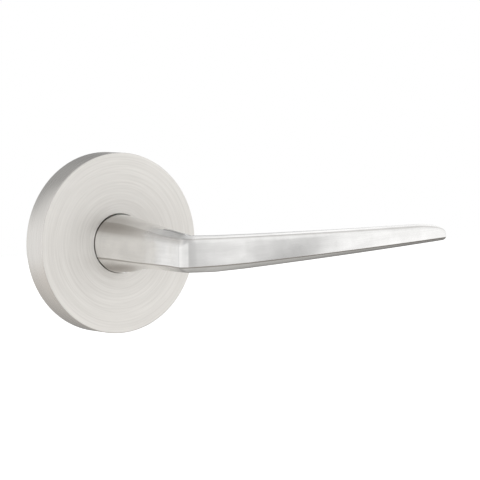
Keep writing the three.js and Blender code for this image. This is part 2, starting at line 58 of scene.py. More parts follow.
towards = Vector((
    np.sin(azimuth) * np.cos(elevation),
    -np.cos(azimuth) * np.cos(elevation),
    np.sin(elevation),
))
right = Vector((np.cos(azimuth), np.sin(azimuth), 0))
up = towards.cross(right)
AIM_RIGHT, AIM_UP, DISTANCE = 0.0444, 0.00114, 1.0
camera_data = bpy.data.cameras.new("camera")
camera_data.sensor_width = 36
camera_data.lens = 203.5
camera = bpy.data.objects.new("camera", camera_data)
bpy.context.scene.collection.objects.link(camera)
camera.matrix_world = Matrix((right, up, towards)).transposed().to_4x4()
camera.location = rose_face + AIM_RIGHT * right + AIM_UP * up + DISTANCE * towards
bpy.context.scene.camera = camera


# ------------------------------------------------------------------ studio
# A white tent round the part, lit from outside: its walls are brighter where the lamps stand and
# darker in the gaps between them, overhead at the back and below. The floor is pale and plain.
bpy.context.scene.view_settings.view_transform = "Standard"


def calculate(tree, operation, *values):
    """Adds a Math node: each value is a number or another node's output. Returns its output."""
    node = tree.nodes.new("ShaderNodeMath")
    node.operation = operation
    for socket, value in zip(node.inputs, values):
        if isinstance(value, (int, float)):
            socket.default_value = value
        else:
            tree.links.new(value, socket)
    return node.outputs[0]


def remap(tree, value, low, high, to_low=0.0, to_high=1.0, smooth=False):
    """Adds a Map Range node that takes low..high to to_low..to_high, clamped."""
    node = tree.nodes.new("ShaderNodeMapRange")
    node.interpolation_type = "SMOOTHSTEP" if smooth else "LINEAR"
    tree.links.new(value, node.inputs["Value"])
    for name, number in zip(("From Min", "From Max", "To Min", "To Max"), (low, high, to_low, to_high)):
        node.inputs[name].default_value = number
    return node.outputs[0]


def mixed(tree, share, first, second):
    """Adds a colour Mix node: first where share is 0, second where it is 1."""
    node = tree.nodes.new("ShaderNodeMix")
    node.data_type = "RGBA"
    for name, value in (("Factor_Float", share), ("A_Color", first), ("B_Color", second)):
        socket = next(s for s in node.inputs if s.identifier == name)
        if isinstance(value, (int, float)):
            socket.default_value = value
        elif isinstance(value, tuple):
            socket.default_value = (*value, 1)
        else:
            tree.links.new(value, socket)
    return next(s for s in node.outputs if s.identifier == "Result_Color")


def wall(tree, azimuth, stops, tint=(1, 1, 1)):
    """Adds a band of tent wall: its brightness goes through (azimuth in degrees, shade) stops."""
    node = tree.nodes.new("ShaderNodeValToRGB")
    ramp = node.color_ramp
    brightest = 2.0
    places = [((degrees + 180) / 360, shade / brightest) for degrees, shade in stops]
    while len(ramp.elements) < len(places):
        ramp.elements.new(0.5)
    for element, (place, shade) in zip(ramp.elements, places):
        element.position = place
        element.color = (*(shade * t for t in tint), 1)
    tree.links.new(azimuth, node.inputs["Fac"])
    scaled = tree.nodes.new("ShaderNodeVectorMath")
    scaled.operation = "SCALE"
    scaled.inputs["Scale"].default_value = brightest
    tree.links.new(node.outputs["Color"], scaled.inputs[0])
    return scaled.outputs[0]


MIDDLE_WALL = [
    (-180, 1.12), (-150, 1.08), (-135, 1.04), (-112, 1.02), (-95, 1.0), (-78, 1.0), (-74, 0.64),
    (-69, 0.64), (-65, 0.7), (-60.5, 0.64), (-59.3, 0.8), (-58.3, 1.0), (-57.4, 1.2), (-56.4, 1.26),
    (-55.4, 1.05), (-54.6, 0.86), (-53.6, 0.82), (-52.4, 1.04), (-46.5, 1.16), (-38, 1.24), (0, 1.0),
    (45, 0.82), (54, 0.36), (75, 0.4), (95, 0.75), (110, 0.92), (125, 1.0), (135, 0.88), (150, 0.92),
    (165, 1.06), (180, 1.12),
]
HIGH_WALL = [
    (-180, 1.0), (-140, 0.8), (-125, 0.6), (-72, 0.58), (-62, 0.8), (-56, 1.08), (0, 1.05), (44, 1.25),
    (50, 1.05), (56, 0.44), (62, 0.33), (70, 0.35), (76, 0.4), (84, 0.42), (96, 0.38), (108, 0.56),
    (118, 0.8), (130, 0.9), (180, 1.0),
]
LOW_WALL = [
    (-180, 0.8), (-120, 0.5), (-102, 0.5), (-86, 0.8), (-60, 0.88), (-50, 0.7), (-40, 0.5), (0, 0.25),
    (40, 0.22), (58, 0.35), (90, 0.56), (125, 0.82), (160, 0.85), (180, 0.8),
]

world = bpy.data.worlds.new("studio")
bpy.context.scene.world = world
world.use_nodes = True
tree = world.node_tree
direction = tree.nodes.new("ShaderNodeTexCoord").outputs["Generated"]
split = tree.nodes.new("ShaderNodeSeparateXYZ")
tree.links.new(direction, split.inputs[0])
radians_round = calculate(tree, "ARCTAN2", split.outputs["Y"], split.outputs["X"])
turn = remap(tree, radians_round, -np.pi, np.pi)
degrees_round = calculate(tree, "MULTIPLY", radians_round, 180 / np.pi)
height = calculate(tree, "ARCSINE", split.outputs["Z"])
height = calculate(tree, "MULTIPLY", height, 180 / np.pi)
upper = remap(tree, height, 4, 19, smooth=True)
lower = remap(tree, height, -10, -26, smooth=True)
underneath = remap(tree, height, -36, -48, smooth=True)
overhead = remap(tree, height, 38, 60, smooth=True)

# A dim gap to the left of the lamp, whose top edge climbs three degrees for each degree round.
GAP_SLOPE, GAP_PLACE, GAP_HEIGHT = 3.0, -53, -3.3
gap_top = calculate(tree, "MULTIPLY_ADD", degrees_round, GAP_SLOPE, GAP_HEIGHT - GAP_SLOPE * GAP_PLACE)
under_gap_top = remap(tree, calculate(tree, "SUBTRACT", height, gap_top), 5, -5, smooth=True)
left_of_lamp = remap(tree, degrees_round, -47.0, -50.5, smooth=True)
right_of_wall = remap(tree, degrees_round, -64, -60, smooth=True)
gap = calculate(tree, "MULTIPLY", calculate(tree, "MULTIPLY", under_gap_top, left_of_lamp), right_of_wall)

light = mixed(tree, gap, wall(tree, turn, MIDDLE_WALL), (0.4, 0.4, 0.4))
light = mixed(tree, upper, light, wall(tree, turn, HIGH_WALL))
light = mixed(tree, overhead, light, (0.62, 0.62, 0.62))
light = mixed(tree, lower, light, wall(tree, turn, LOW_WALL, tint=(1, 0.965, 0.93)))
light = mixed(tree, underneath, light, (0.62, 0.61, 0.59))
seen = tree.nodes.new("ShaderNodeLightPath").outputs["Is Camera Ray"]
light = mixed(tree, seen, light, (1.0, 1.0, 1.0))
tree.links.new(light, tree.nodes["Background"].inputs["Color"])


def sheet_of(name, corners):
    """A flat four-sided sheet through the given corners."""
    mesh = bpy.data.meshes.new(name)
    mesh.from_pydata([Vector(c) for c in corners], [], [(0, 1, 2, 3)])
    sheet = bpy.data.objects.new(name, mesh)
    bpy.context.scene.collection.objects.link(sheet)
    return sheet


FLOOR_HALF, FLOOR_HEIGHT = 6, -0.45
floor_corners = [(-1, -1), (1, -1), (1, 1), (-1, 1)]
floor = sheet_of("floor", [(x * FLOOR_HALF, y * FLOOR_HALF, FLOOR_HEIGHT) for x, y in floor_corners])
floor_paint = bpy.data.materials.new("floor_paint")
floor_paint.use_nodes = True
floor_shader = floor_paint.node_tree.nodes["Principled BSDF"]
floor_shader.inputs["Base Color"].default_value = (0.93, 0.93, 0.93, 1)
floor_shader.inputs["Roughness"].default_value = 0.9
floor_shader.inputs["Emission Color"].default_value = (1, 1, 1, 1)
floor_shader.inputs["Emission Strength"].default_value = 0.5
floor.data.materials.append(floor_paint)
floor.visible_glossy = False


# ------------------------------------------------------------------ mounting plate
# A flat ring of 2 mm steel, punched, tumbled and zinc plated. It lies on the door, and the
# cassette's flange is screwed to its front.
MM = 0.001
SHARP_EDGE = 32


def new_object(name, points, faces):
    """An object with those faces, from points in millimetres."""
    mesh = bpy.data.meshes.new(name)
    mesh.from_pydata((np.reshape(points, (-1, 3)) * MM).tolist(), [], faces)
    made = bpy.data.objects.new(name, mesh)
    bpy.context.scene.collection.objects.link(made)
    return made


def closed(piece):
    """Joins the piece's seams and poles, turns its faces outward, and marks its real edges."""
    work = bmesh.new()
    work.from_mesh(piece.data)
    bmesh.ops.remove_doubles(work, verts=work.verts, dist=1e-7)
    bmesh.ops.recalc_face_normals(work, faces=work.faces)
    work.to_mesh(piece.data)
    work.free()
    piece.data.polygons.foreach_set("use_smooth", np.ones(len(piece.data.polygons), bool))
    piece.data.set_sharp_from_angle(angle=np.radians(SHARP_EDGE))
    return piece


def skin(name, grid, uv=None, marks=None):
    """A surface through a grid of points [row, column, xyz] whose columns close up. uv holds
    [row, column + 1, 2], and marks has named sets of one number a point, kept as attributes."""
    rows, columns = grid.shape[:2]
    r = np.arange(rows - 1)[:, None]
    c = np.arange(columns)[None, :]
    after = (c + 1) % columns
    corners = [r * columns + c, r * columns + after, (r + 1) * columns + after, (r + 1) * columns + c]
    faces = np.stack(corners, -1).reshape(-1, 4).tolist()
    made = new_object(name, grid, faces)
    if uv is not None:
        layer = made.data.uv_layers.new(name="UVMap")
        at_corners = np.stack([uv[r, c], uv[r, c + 1], uv[r + 1, c + 1], uv[r + 1, c]], 2)
        layer.data.foreach_set("uv", at_corners.reshape(-1).astype(np.float32))
    for label, values in (marks or {}).items():
        made.data.attributes.new(label, "FLOAT", "POINT").data.foreach_set("value", values.reshape(-1))
    return closed(made)


def rounded(profile, reaches, steps=5):
    """A path of points with each inner corner replaced by a small bend: a curve that leaves one
    side at the corner's reach, aims at the corner and ends as far along the next side."""
    points = np.array(profile, float)
    out = [points[0]]
    for before, corner, after, reach in zip(points, points[1:], points[2:], reaches):
        a = corner + (before - corner) / np.linalg.norm(before - corner) * reach
        b = corner + (after - corner) / np.linalg.norm(after - corner) * reach
        t = np.linspace(0, 1, steps)[:, None]
        out.extend((1 - t) ** 2 * a + 2 * t * (1 - t) * corner + t ** 2 * b)
    out.append(points[-1])
    return np.array(out)


def spun(name, profile, columns=64, at=(0, 0), thread=None):
    """A profile of [radius, y] points turned about a line along Y: x = radius cos a, z = radius
    sin a, moved to x, z = at. A thread is (radius, low, high, pitch, depth): where the profile
    runs at that radius, a helix is cut into it, going evenly in and out once a pitch."""
    profile = np.array(profile, float)
    cut = np.zeros(len(profile))
    if thread:
        radius, low, high, pitch, depth = thread
        on = np.isclose(profile[:, 0], radius)
        first = int(np.flatnonzero(on[:-1] & on[1:])[0])
        steps_a_turn = 8
        turns = np.arange(low, high, pitch / steps_a_turn)
        if profile[first, 1] > profile[first + 1, 1]:
            turns = turns[::-1]
        fade = np.clip(np.minimum(turns - low, high - turns) / pitch, 0, 1) * depth
        added = np.stack([np.full(len(turns), radius), turns], -1)
        profile = np.insert(profile, first + 1, added, axis=0)
        cut = np.insert(cut, first + 1, fade)
    angle = np.linspace(0, 2 * np.pi, columns, endpoint=False)
    radius, y = profile[:, 0:1], profile[:, 1:2]
    if thread:
        phase = (y / pitch + angle / (2 * np.pi)) % 1
        radius = radius + cut[:, None] * (1 - np.abs(2 * phase - 1))
    x, z = at[0] + radius * np.cos(angle), at[1] + radius * np.sin(angle)
    return skin(name, np.stack([x, y + 0 * angle, z], -1))


def ring_profile(inner, outer, front, back, edge):
    """The profile of a plain ring with its four edges eased."""
    corners = [[inner, front], [outer, front], [outer, back], [inner, back]]
    start = [inner, (front + back) / 2]
    return rounded([start, *corners, start], [edge] * 4)


def around(radius, degrees):
    """x, z on a circle round the spindle axis, at an angle from +X towards +Z."""
    return radius * np.cos(np.radians(degrees)), radius * np.sin(np.radians(degrees))


def prism(name, outline, low, high, axes=(0, 2, 1)):
    """A bar with a flat outline, which lies in the first two axes and runs along the third."""
    outline = np.array(outline, float)
    count = len(outline)
    points = np.zeros((2 * count, 3))
    points[:, axes[0]] = np.tile(outline[:, 0], 2)
    points[:, axes[1]] = np.tile(outline[:, 1], 2)
    points[:, axes[2]] = np.repeat([low, high], count)
    i = np.arange(count)
    sides = np.stack([i, (i + 1) % count, (i + 1) % count + count, i + count], -1).tolist()
    return closed(new_object(name, points, sides + [i[::-1].tolist(), (i + count).tolist()]))


def circle(radius, at=(0, 0), sides=40):
    """A round outline about a point."""
    angle = np.linspace(0, 2 * np.pi, sides, endpoint=False)
    return np.stack([at[0] + radius * np.cos(angle), at[1] + radius * np.sin(angle)], -1)


def drill(radius, low, high, at=(0, 0), axes=(0, 2, 1)):
    """A round bar to cut a hole with, along Y unless the axes say otherwise."""
    return prism("drill", circle(radius, at), low, high, axes)


def settled(piece):
    """Works the piece's modifiers into its mesh."""
    result = piece.evaluated_get(bpy.context.evaluated_depsgraph_get())
    piece.data = bpy.data.meshes.new_from_object(result)
    piece.modifiers.clear()
    piece.data.set_sharp_from_angle(angle=np.radians(SHARP_EDGE))
    return piece


def carved(piece, tools, operation="DIFFERENCE"):
    """Cuts the tools out of the piece, or with UNION joins them to it."""
    for tool in tools:
        step = piece.modifiers.new("carve", "BOOLEAN")
        step.object = tool
        step.operation = operation
        step.solver = "MANIFOLD"
    settled(piece)
    for tool in tools:
        bpy.data.objects.remove(tool)
    return piece


def eased(piece, width):
    """Eases the piece's sharp edges by that width in millimetres."""
    step = piece.modifiers.new("eased", "BEVEL")
    step.width = width * MM
    step.segments = 2
    step.limit_method = "ANGLE"
    step.angle_limit = np.radians(40)
    return settled(piece)


def metal(name, color, roughness, anisotropic=0.0):
    """A bare metal material, with its shader and node tree."""
    made = bpy.data.materials.new(name)
    made.use_nodes = True
    shader = made.node_tree.nodes["Principled BSDF"]
    shader.inputs["Base Color"].default_value = (*color, 1)
    shader.inputs["Metallic"].default_value = 1.0
    shader.inputs["Roughness"].default_value = roughness
    shader.inputs["Anisotropic"].default_value = anisotropic
    return made, shader, made.node_tree


def noise(tree, place, scale, detail=2.0):
    """Adds a noise texture over a place."""
    node = tree.nodes.new("ShaderNodeTexNoise")
    node.inputs["Scale"].default_value = scale
    node.inputs["Detail"].default_value = detail
    tree.links.new(place, node.inputs["Vector"])
    return node.outputs["Fac"]


def relief(tree, shader, height, depth, strength=0.5):
    """Gives the surface a fine relief, depth in metres."""
    bump = tree.nodes.new("ShaderNodeBump")
    bump.inputs["Strength"].default_value = strength
    bump.inputs["Distance"].default_value = depth
    tree.links.new(height, bump.inputs["Height"])
    tree.links.new(bump.outputs[0], shader.inputs["Normal"])


def mottled(name, first, second, smoothest, roughest, patch, grain, depth):
    """A metal that drifts between two tones in patches, with a finer grain in its roughness and
    its relief. patch and grain are features a metre, and depth is in metres."""
    made, shader, tree = metal(name, first, smoothest)
    place = tree.nodes.new("ShaderNodeTexCoord").outputs["Object"]
    patches = noise(tree, place, patch, 4.0)
    speckle = noise(tree, place, grain, 3.0)
    tone = mixed(tree, remap(tree, patches, 0.38, 0.62), first, second)
    tree.links.new(tone, shader.inputs["Base Color"])
    tree.links.new(remap(tree, speckle, 0.3, 0.7, smoothest, roughest), shader.inputs["Roughness"])
    relief(tree, shader, speckle, depth)
    return made


def fitted(piece, finish, body, slot, *nodes):
    """Puts the finish on the piece, and lets it ride its body in place of its CAD nodes."""
    piece.data.materials.clear()
    piece.data.materials.append(finish)
    piece.data.polygons.foreach_set("material_index", np.zeros(len(piece.data.polygons), np.int32))
    if body:
        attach(piece, body)
    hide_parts(*nodes)


PLATE_RADIUS, PLATE_HOLE, PLATE_THICKNESS = 31.6, 24.9, 2.0
FLANGE_CIRCLE, FLANGE_TAP = 26.9, 1.15
FLANGE_ANGLES = [45, 135, 225, 315]
zinc_plate = mottled(
    "zinc_plated_steel", (0.56, 0.58, 0.60), (0.66, 0.66, 0.63), 0.27, 0.42, 170, 2400, 6e-6,
)
plate = spun("mounting_ring", ring_profile(PLATE_HOLE, PLATE_RADIUS, -PLATE_THICKNESS, 0, 0.25), 128)
carved(plate, [drill(FLANGE_TAP, -3, 1, around(FLANGE_CIRCLE, a)) for a in FLANGE_ANGLES])
fitted(plate, zinc_plate, "root", "plated_steel", "mounting_plate")


# ------------------------------------------------------------------ door spurs
# Two hardened points pressed into the back of the plate. They bite into the door and stop the
# trim turning. Turned from bar and blackened.
SPUR_PLACE = 29
black_oxide = mottled(
    "black_oxide", (0.045, 0.045, 0.048), (0.085, 0.08, 0.075), 0.3, 0.46, 420, 3000, 5e-6,
)
spur_profile = rounded([[0, 0.1], [1.1, 0.1], [1.1, 2.6], [0, 4.0]], [0.15, 0.4])
for side, x in (("left", -SPUR_PLACE), ("right", SPUR_PLACE)):
    spur = spun(f"{side}_spur", spur_profile, 32, (x, 0))
    fitted(spur, black_oxide, "root", "black_steel", f"{side}_door_spur")


# ------------------------------------------------------------------ rose clips
# Three leaves of spring steel on the plate's rim, bent outward so that they grip the inside of
# the rose. Blanked, formed and tempered to a straw tint.
spring_steel = mottled(
    "tempered_spring_steel", (0.30, 0.30, 0.31), (0.36, 0.31, 0.24), 0.24, 0.38, 260, 2800, 4e-6,
)
LEAF_WIDTH = 7.0
leaf_outline = rounded(
    [
        [29.3, -2.4], [29.3, -2.15], [31.0, -2.15], [31.5, -2.65], [31.9, -4.95], [31.2, -7.35],
        [30.8, -7.35], [31.4, -4.95], [31.1, -2.65], [29.3, -2.65], [29.3, -2.4],
    ],
    [0.05, 0.25, 0.3, 0.8, 0.1, 0.1, 0.8, 0.3, 0.05],
)[:-1]
for number, degrees in enumerate((0, 120, 240), 1):
    leaf = prism(f"clip_{number}", leaf_outline, -LEAF_WIDTH / 2, LEAF_WIDTH / 2, axes=(0, 1, 2))
    eased(leaf, 0.1)
    leaf.data.transform(Matrix.Rotation(np.radians(-degrees), 4, "Y"))
    fitted(leaf, spring_steel, "root", "spring_steel", f"rose_clip_{number}")


# ------------------------------------------------------------------ cassette housing
# A die-cast zinc cup that holds the spring, with a flange that is screwed to the plate and three
# bosses inside for the cover screws. It keeps the dull grain of the casting.
CUP_RADIUS, CUP_WALL, CUP_FRONT, CUP_BACK = 24.6, 1.6, -8.4, 4.7
CUP_INNER = CUP_FRONT + 1.5
CUP_BORE = 10.1
FLANGE_RADIUS, FLANGE_FRONT, FLANGE_BACK = 28.9, -3.6, -2.3
COVER_CIRCLE = 20.2
COVER_ANGLES = [60, 220, 330]
BOSS_RADIUS, BOSS_TAP, FLANGE_HOLE, ANCHOR_HOLE = 3.2, 1.35, 1.2, 1.45
anchor_place = around(16.4, 158.5)
cast_zinc = mottled(
    "cast_zinc", (0.38, 0.385, 0.39), (0.44, 0.44, 0.43), 0.46, 0.62, 120, 1500, 2.5e-5,
)
cup_inside = CUP_RADIUS - CUP_WALL
cup_profile = rounded(
    [
        [CUP_BORE, -7.6], [CUP_BORE, CUP_FRONT], [CUP_RADIUS, CUP_FRONT], [CUP_RADIUS, FLANGE_FRONT],
        [FLANGE_RADIUS, FLANGE_FRONT], [FLANGE_RADIUS, FLANGE_BACK], [CUP_RADIUS, FLANGE_BACK],
        [CUP_RADIUS, CUP_BACK], [cup_inside, CUP_BACK], [cup_inside, CUP_INNER], [CUP_BORE, CUP_INNER],
        [CUP_BORE, -7.6],
    ],
    [0.2, 0.8, 0.5, 0.3, 0.2, 0.3, 0.2, 0.2, 0.8, 0.2],
)
housing = spun("cassette_housing", cup_profile, 128)
carved(housing, [
    prism("boss", circle(BOSS_RADIUS, around(COVER_CIRCLE, a)), CUP_INNER - 0.5, CUP_BACK)
    for a in COVER_ANGLES
], "UNION")
carved(housing, [
    *[drill(BOSS_TAP, CUP_BACK - 6, CUP_BACK + 1, around(COVER_CIRCLE, a)) for a in COVER_ANGLES],
    *[drill(FLANGE_HOLE, -5, -1, around(FLANGE_CIRCLE, a)) for a in FLANGE_ANGLES],
    drill(ANCHOR_HOLE, CUP_FRONT - 1, CUP_INNER + 1, anchor_place),
])
fitted(housing, cast_zinc, "root", "cast_zinc", "spring_housing")


# ------------------------------------------------------------------ flange screws
# Four small pan-head screws with a cross recess, cold headed, thread rolled and blackened. They
# hold the cassette's flange to the mounting plate.
def pan_screw(name, shank, head, length, place, turned_round=False):
    """A pan-head screw of those two radii, seated at a place and pointing along +Y, or along -Y when
    it is turned round: a domed head, a tapered cross recess and a rolled thread."""
    tall = head * 0.75
    point, pitch, thread_depth = 0.4, 0.45, 0.16
    profile = rounded(
        [
            [0, -tall], [head * 0.72, -tall * 0.96], [head, -tall * 0.3], [head, 0], [shank, 0],
            [shank, length - point], [shank - point, length], [0, length],
        ],
        [0.3 * head, 0.25 * head, 0.08, 0.05, 0, 0],
    )
    made = spun(name, profile, 40, thread=(shank, 0.25, length - 0.5, pitch, -thread_depth))
    wing, narrow, deep = 0.6 * head, 0.17 * head, -tall * 0.35
    star = []
    for quarter in range(4):
        c, s = np.cos(quarter * np.pi / 2), np.sin(quarter * np.pi / 2)
        arm_of_star = ((narrow, -narrow), (wing, -narrow), (wing, narrow))
        star += [(c * x - s * z, s * x + c * z) for x, z in arm_of_star]
    cross = prism("cross", star, -4, deep)
    points = np.array([v.co for v in cross.data.vertices])
    taper = np.where(points[:, 1] > -1 * MM, 0.6, 1.0)
    points[:, [0, 2]] *= taper[:, None]
    cross.data.vertices.foreach_set("co", points.reshape(-1))
    carved(made, [cross])
    if turned_round:
        made.data.transform(Matrix.Rotation(np.pi, 4, "X"))
    made.data.transform(Matrix.Translation(Vector(place) * MM))
    return made


for number, degrees in enumerate(FLANGE_ANGLES, 1):
    x, z = around(FLANGE_CIRCLE, degrees)
    screw = pan_screw(f"flange_screw_{number}_fine", 1.0, 1.85, 3.4, (x, -3.75, z))
    fitted(screw, black_oxide, "root", "black_steel", f"flange_screw_{number}")


# ------------------------------------------------------------------ bushes
# Two flanged bushes moulded in white nylon, one in the housing's bore and one in the back plate.
# The lever's shank turns in them.
nylon = mottled("nylon", (0.80, 0.785, 0.73), (0.85, 0.83, 0.775), 0.38, 0.5, 300, 1800, 4e-6)
shader = nylon.node_tree.nodes["Principled BSDF"]
shader.inputs["Metallic"].default_value = 0.0
shader.inputs["Subsurface Weight"].default_value = 0.12
shader.inputs["Subsurface Scale"].default_value = 0.0015
BORE = 8.0
front_bush = spun("front_bearing", rounded(
    [
        [BORE, -7.5], [BORE, -9.1], [12, -9.1], [12, -8.5], [9.9, -8.5], [9.9, -6.4], [BORE, -6.4],
        [BORE, -7.5],
    ],
    [0.25, 0.15, 0.15, 0.08, 0.2, 0.2],
))
fitted(front_bush, nylon, "root", "nylon", "front_bush")
rear_bush = spun("rear_bearing", rounded(
    [
        [BORE, 5.5], [BORE, 4.4], [11.4, 4.4], [11.4, 4.85], [9.5, 4.85], [9.5, 6.6], [BORE, 6.6],
        [BORE, 5.5],
    ],
    [0.2, 0.12, 0.12, 0.08, 0.2, 0.25],
))
fitted(rear_bush, nylon, "root", "nylon", "rear_bush")


# ------------------------------------------------------------------ anchor and stop pins
# Short pins turned from bar, blackened and riveted: one into the housing's front, which holds the
# spring's fixed leg, and two into the back plate, which meet the cam's lug at rest and at the end
# of its turn.
anchor_pin = spun("anchor_pin", rounded(
    [[0, -8.2], [1.25, -8.2], [1.25, -6.7], [1.6, -6.7], [1.6, -3.4], [0, -3.4]],
    [0.12, 0.05, 0.05, 0.25],
), 32, anchor_place)
fitted(anchor_pin, black_oxide, "root", "black_steel", "spring_anchor_pin")
STOP_CIRCLE, STOP_RADIUS, LUG_HALF, STOP_GAP = 19.0, 1.8, 3.0, 0.3
LEVER_TRAVEL = 45
stop_profile = rounded(
    [[0, -0.2], [STOP_RADIUS, -0.2], [STOP_RADIUS, 4.8], [1.2, 4.8], [1.2, 6.8], [0, 6.8]],
    [0.3, 0.08, 0.05, 0.3],
)
lug_reach = np.degrees(np.arcsin((LUG_HALF + STOP_RADIUS + STOP_GAP) / STOP_CIRCLE))
STOP_ANGLES = {"rest": 180 + lug_reach, "travel": 180 - LEVER_TRAVEL - lug_reach}
for name, degrees in STOP_ANGLES.items():
    stop_pin = spun(f"{name}_stop", stop_profile, 32, around(STOP_CIRCLE, degrees))
    fitted(stop_pin, black_oxide, "root", "black_steel", f"{name}_stop_pin")


# ------------------------------------------------------------------ return spring
# A torsion spring of 1.6 mm wire, three turns round the shank. Its front leg bears on the anchor
# pin, and its back leg is carried round by the cam. Coiled and tempered.
WIRE_RADIUS, COIL_RADIUS, LEG_RADIUS = 0.8, 12.6, 17.3
COIL_FRONT, COIL_LENGTH = -6.0, 6.3
COIL_START, COIL_TURN = 171, 1080
wound = np.linspace(0, 1, 360)
leg = 1 - np.clip(np.minimum(wound, 1 - wound) / 0.05, 0, 1)
leg = leg * leg * (3 - 2 * leg)
twist = np.radians(COIL_START - COIL_TURN * np.clip((wound - 0.04) / 0.92, 0, 1))
coil_radius = COIL_RADIUS + (LEG_RADIUS - COIL_RADIUS) * leg
coil_y = COIL_FRONT + COIL_LENGTH * np.clip((wound - 0.05) / 0.9, 0, 1)
wire_path = np.stack([coil_radius * np.cos(twist), coil_y, coil_radius * np.sin(twist)], -1)
forward_along = np.gradient(wire_path, axis=0)
forward_along /= np.linalg.norm(forward_along, axis=1)[:, None]
sideways = np.cross(forward_along, [0, 1, 0])
sideways /= np.linalg.norm(sideways, axis=1)[:, None]
third = np.cross(forward_along, sideways)

# The wire is a circle carried along that path, and its two ends close to a point.
angle = np.linspace(0, 2 * np.pi, 16, endpoint=False)[None, :, None]
wire = np.full(len(wound), WIRE_RADIUS)
wire[[0, -1]] = 0.0
wire[[1, -2]] = WIRE_RADIUS - 0.1
wire_round = np.cos(angle) * sideways[:, None] + np.sin(angle) * third[:, None]
coil_grid = wire_path[:, None] + wire[:, None, None] * wire_round
coil_grid[1] += wire_path[0] - wire_path[1]
coil_grid[-2] += wire_path[-1] - wire_path[-2]
coil = skin("torsion_coil", coil_grid)
fitted(coil, spring_steel, None, "spring_steel", "return_spring")
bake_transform(coil)


# ------------------------------------------------------------------ drive cam
# A die-cast zinc disc keyed to two flats on the lever's shank, with a lug that meets the stop
# pins and a finger that pushes the spring's back leg.
FLAT_FIT, SHANK_FIT = 6.45, 8.05
CAM_RADIUS, CAM_FRONT, CAM_BACK = 12.5, 1.3, 3.5
reach_angle = np.arcsin(FLAT_FIT / SHANK_FIT)
arc = np.linspace(-reach_angle, reach_angle, 24)
arcs = np.concatenate([arc, np.pi + arc])
keyed_bore = np.stack([SHANK_FIT * np.cos(arcs), SHANK_FIT * np.sin(arcs)], -1)
cam = prism("cam", circle(CAM_RADIUS, sides=96), CAM_FRONT, CAM_BACK)
lug_outline = [(-21, -LUG_HALF), (-11.5, -LUG_HALF), (-11.5, LUG_HALF), (-21, LUG_HALF)]
lug = prism("lug", lug_outline, CAM_FRONT, CAM_BACK)
finger = prism("finger", [(-17.6, -1.2), (-14.6, -1.2), (-14.6, 1.2), (-17.6, 1.2)], -1.5, 1.8)
carved(cam, [lug, finger], "UNION")
carved(cam, [prism("keyed_bore", keyed_bore, 0, 5)])
eased(cam, 0.2)
fitted(cam, cast_zinc, "lever_assembly", "cast_zinc", "drive_cam")


# ------------------------------------------------------------------ back plate
# A steel disc that closes the cassette, punched and zinc plated. It carries the rear bush, the
# stop pins and the two posts.
POST_CIRCLE = 19.0
POST_ANGLES = {"upper": 90, "lower": 270}
COVER_HOLE, STOP_HOLE, POST_HOLE = 1.4, 1.35, 2.6
back_plate = spun("cassette_back", ring_profile(9.7, 24.6, 5.0, 6.5, 0.2), 128)
carved(back_plate, [
    *[drill(COVER_HOLE, 4, 8, around(COVER_CIRCLE, a)) for a in COVER_ANGLES],
    *[drill(STOP_HOLE, 4, 8, around(STOP_CIRCLE, a)) for a in STOP_ANGLES.values()],
    *[drill(POST_HOLE, 4, 8, around(POST_CIRCLE, a)) for a in POST_ANGLES.values()],
])
fitted(back_plate, zinc_plate, "root", "plated_steel", "back_plate")


# ------------------------------------------------------------------ posts
# Two round posts riveted to the back plate. They reach into the door and are tapped for the
# screws that come through from the inside. Turned from bar and zinc plated.
POST_RADIUS, POST_BORE, POST_END = 3.6, 2.1, 26.5
post_profile = rounded(
    [
        [0, 5.2], [2.4, 5.2], [2.4, 6.65], [POST_RADIUS, 6.65], [POST_RADIUS, POST_END],
        [POST_BORE, POST_END], [POST_BORE, 10.65], [0, 10.65],
    ],
    [0.1, 0.05, 0.15, 0.45, 0.45, 0.2],
)
post_thread = (POST_BORE, 11.5, 25.8, 0.8, 0.38)
for name, degrees in POST_ANGLES.items():
    post = spun(f"{name}_stud", post_profile, 64, around(POST_CIRCLE, degrees), post_thread)
    fitted(post, zinc_plate, "root", "plated_steel", f"{name}_post")


# ------------------------------------------------------------------ cover screws
# Three pan-head screws from behind, through the back plate into the housing's bosses. They are
# cold headed, thread rolled and blackened, as the flange screws are.
for number, degrees in enumerate(COVER_ANGLES, 1):
    x, z = around(COVER_CIRCLE, degrees)
    screw = pan_screw(f"cover_screw_{number}_fine", 1.2, 2.3, 6, (x, 6.65, z), turned_round=True)
    fitted(screw, black_oxide, "root", "black_steel", f"cover_screw_{number}")


# ------------------------------------------------------------------ washers and retaining ring
# A wave washer takes up the end play in front of the rear bush. Behind it a flat plated washer
# and an open spring-steel ring in the shank's groove keep the lever in the cassette.
wave_washer = spun("end_play_washer", ring_profile(8.4, 11.6, 3.72, 4.02, 0.06), 96)
points = np.array([v.co for v in wave_washer.data.vertices])
WAVES, WAVE_HEIGHT = 3, 0.12
points[:, 1] += WAVE_HEIGHT * MM * np.cos(WAVES * np.arctan2(points[:, 2], points[:, 0]))
wave_washer.data.vertices.foreach_set("co", points.reshape(-1))
fitted(wave_washer, spring_steel, "lever_assembly", "spring_steel", "wave_washer")
thrust_washer = spun("flat_washer", ring_profile(8.1, 11.2, 6.75, 7.4, 0.1), 96)
fitted(thrust_washer, zinc_plate, "lever_assembly", "plated_steel", "thrust_washer")
HALF_OPENING, RING_OUTER, RING_INNER = 0.32, 10.2, 7.05
open_arc = np.linspace(HALF_OPENING, 2 * np.pi - HALF_OPENING, 96)
ring_outline = np.concatenate([
    np.stack([RING_OUTER * np.cos(open_arc), RING_OUTER * np.sin(open_arc)], -1),
    np.stack([RING_INNER * np.cos(open_arc[::-1]), RING_INNER * np.sin(open_arc[::-1])], -1),
])
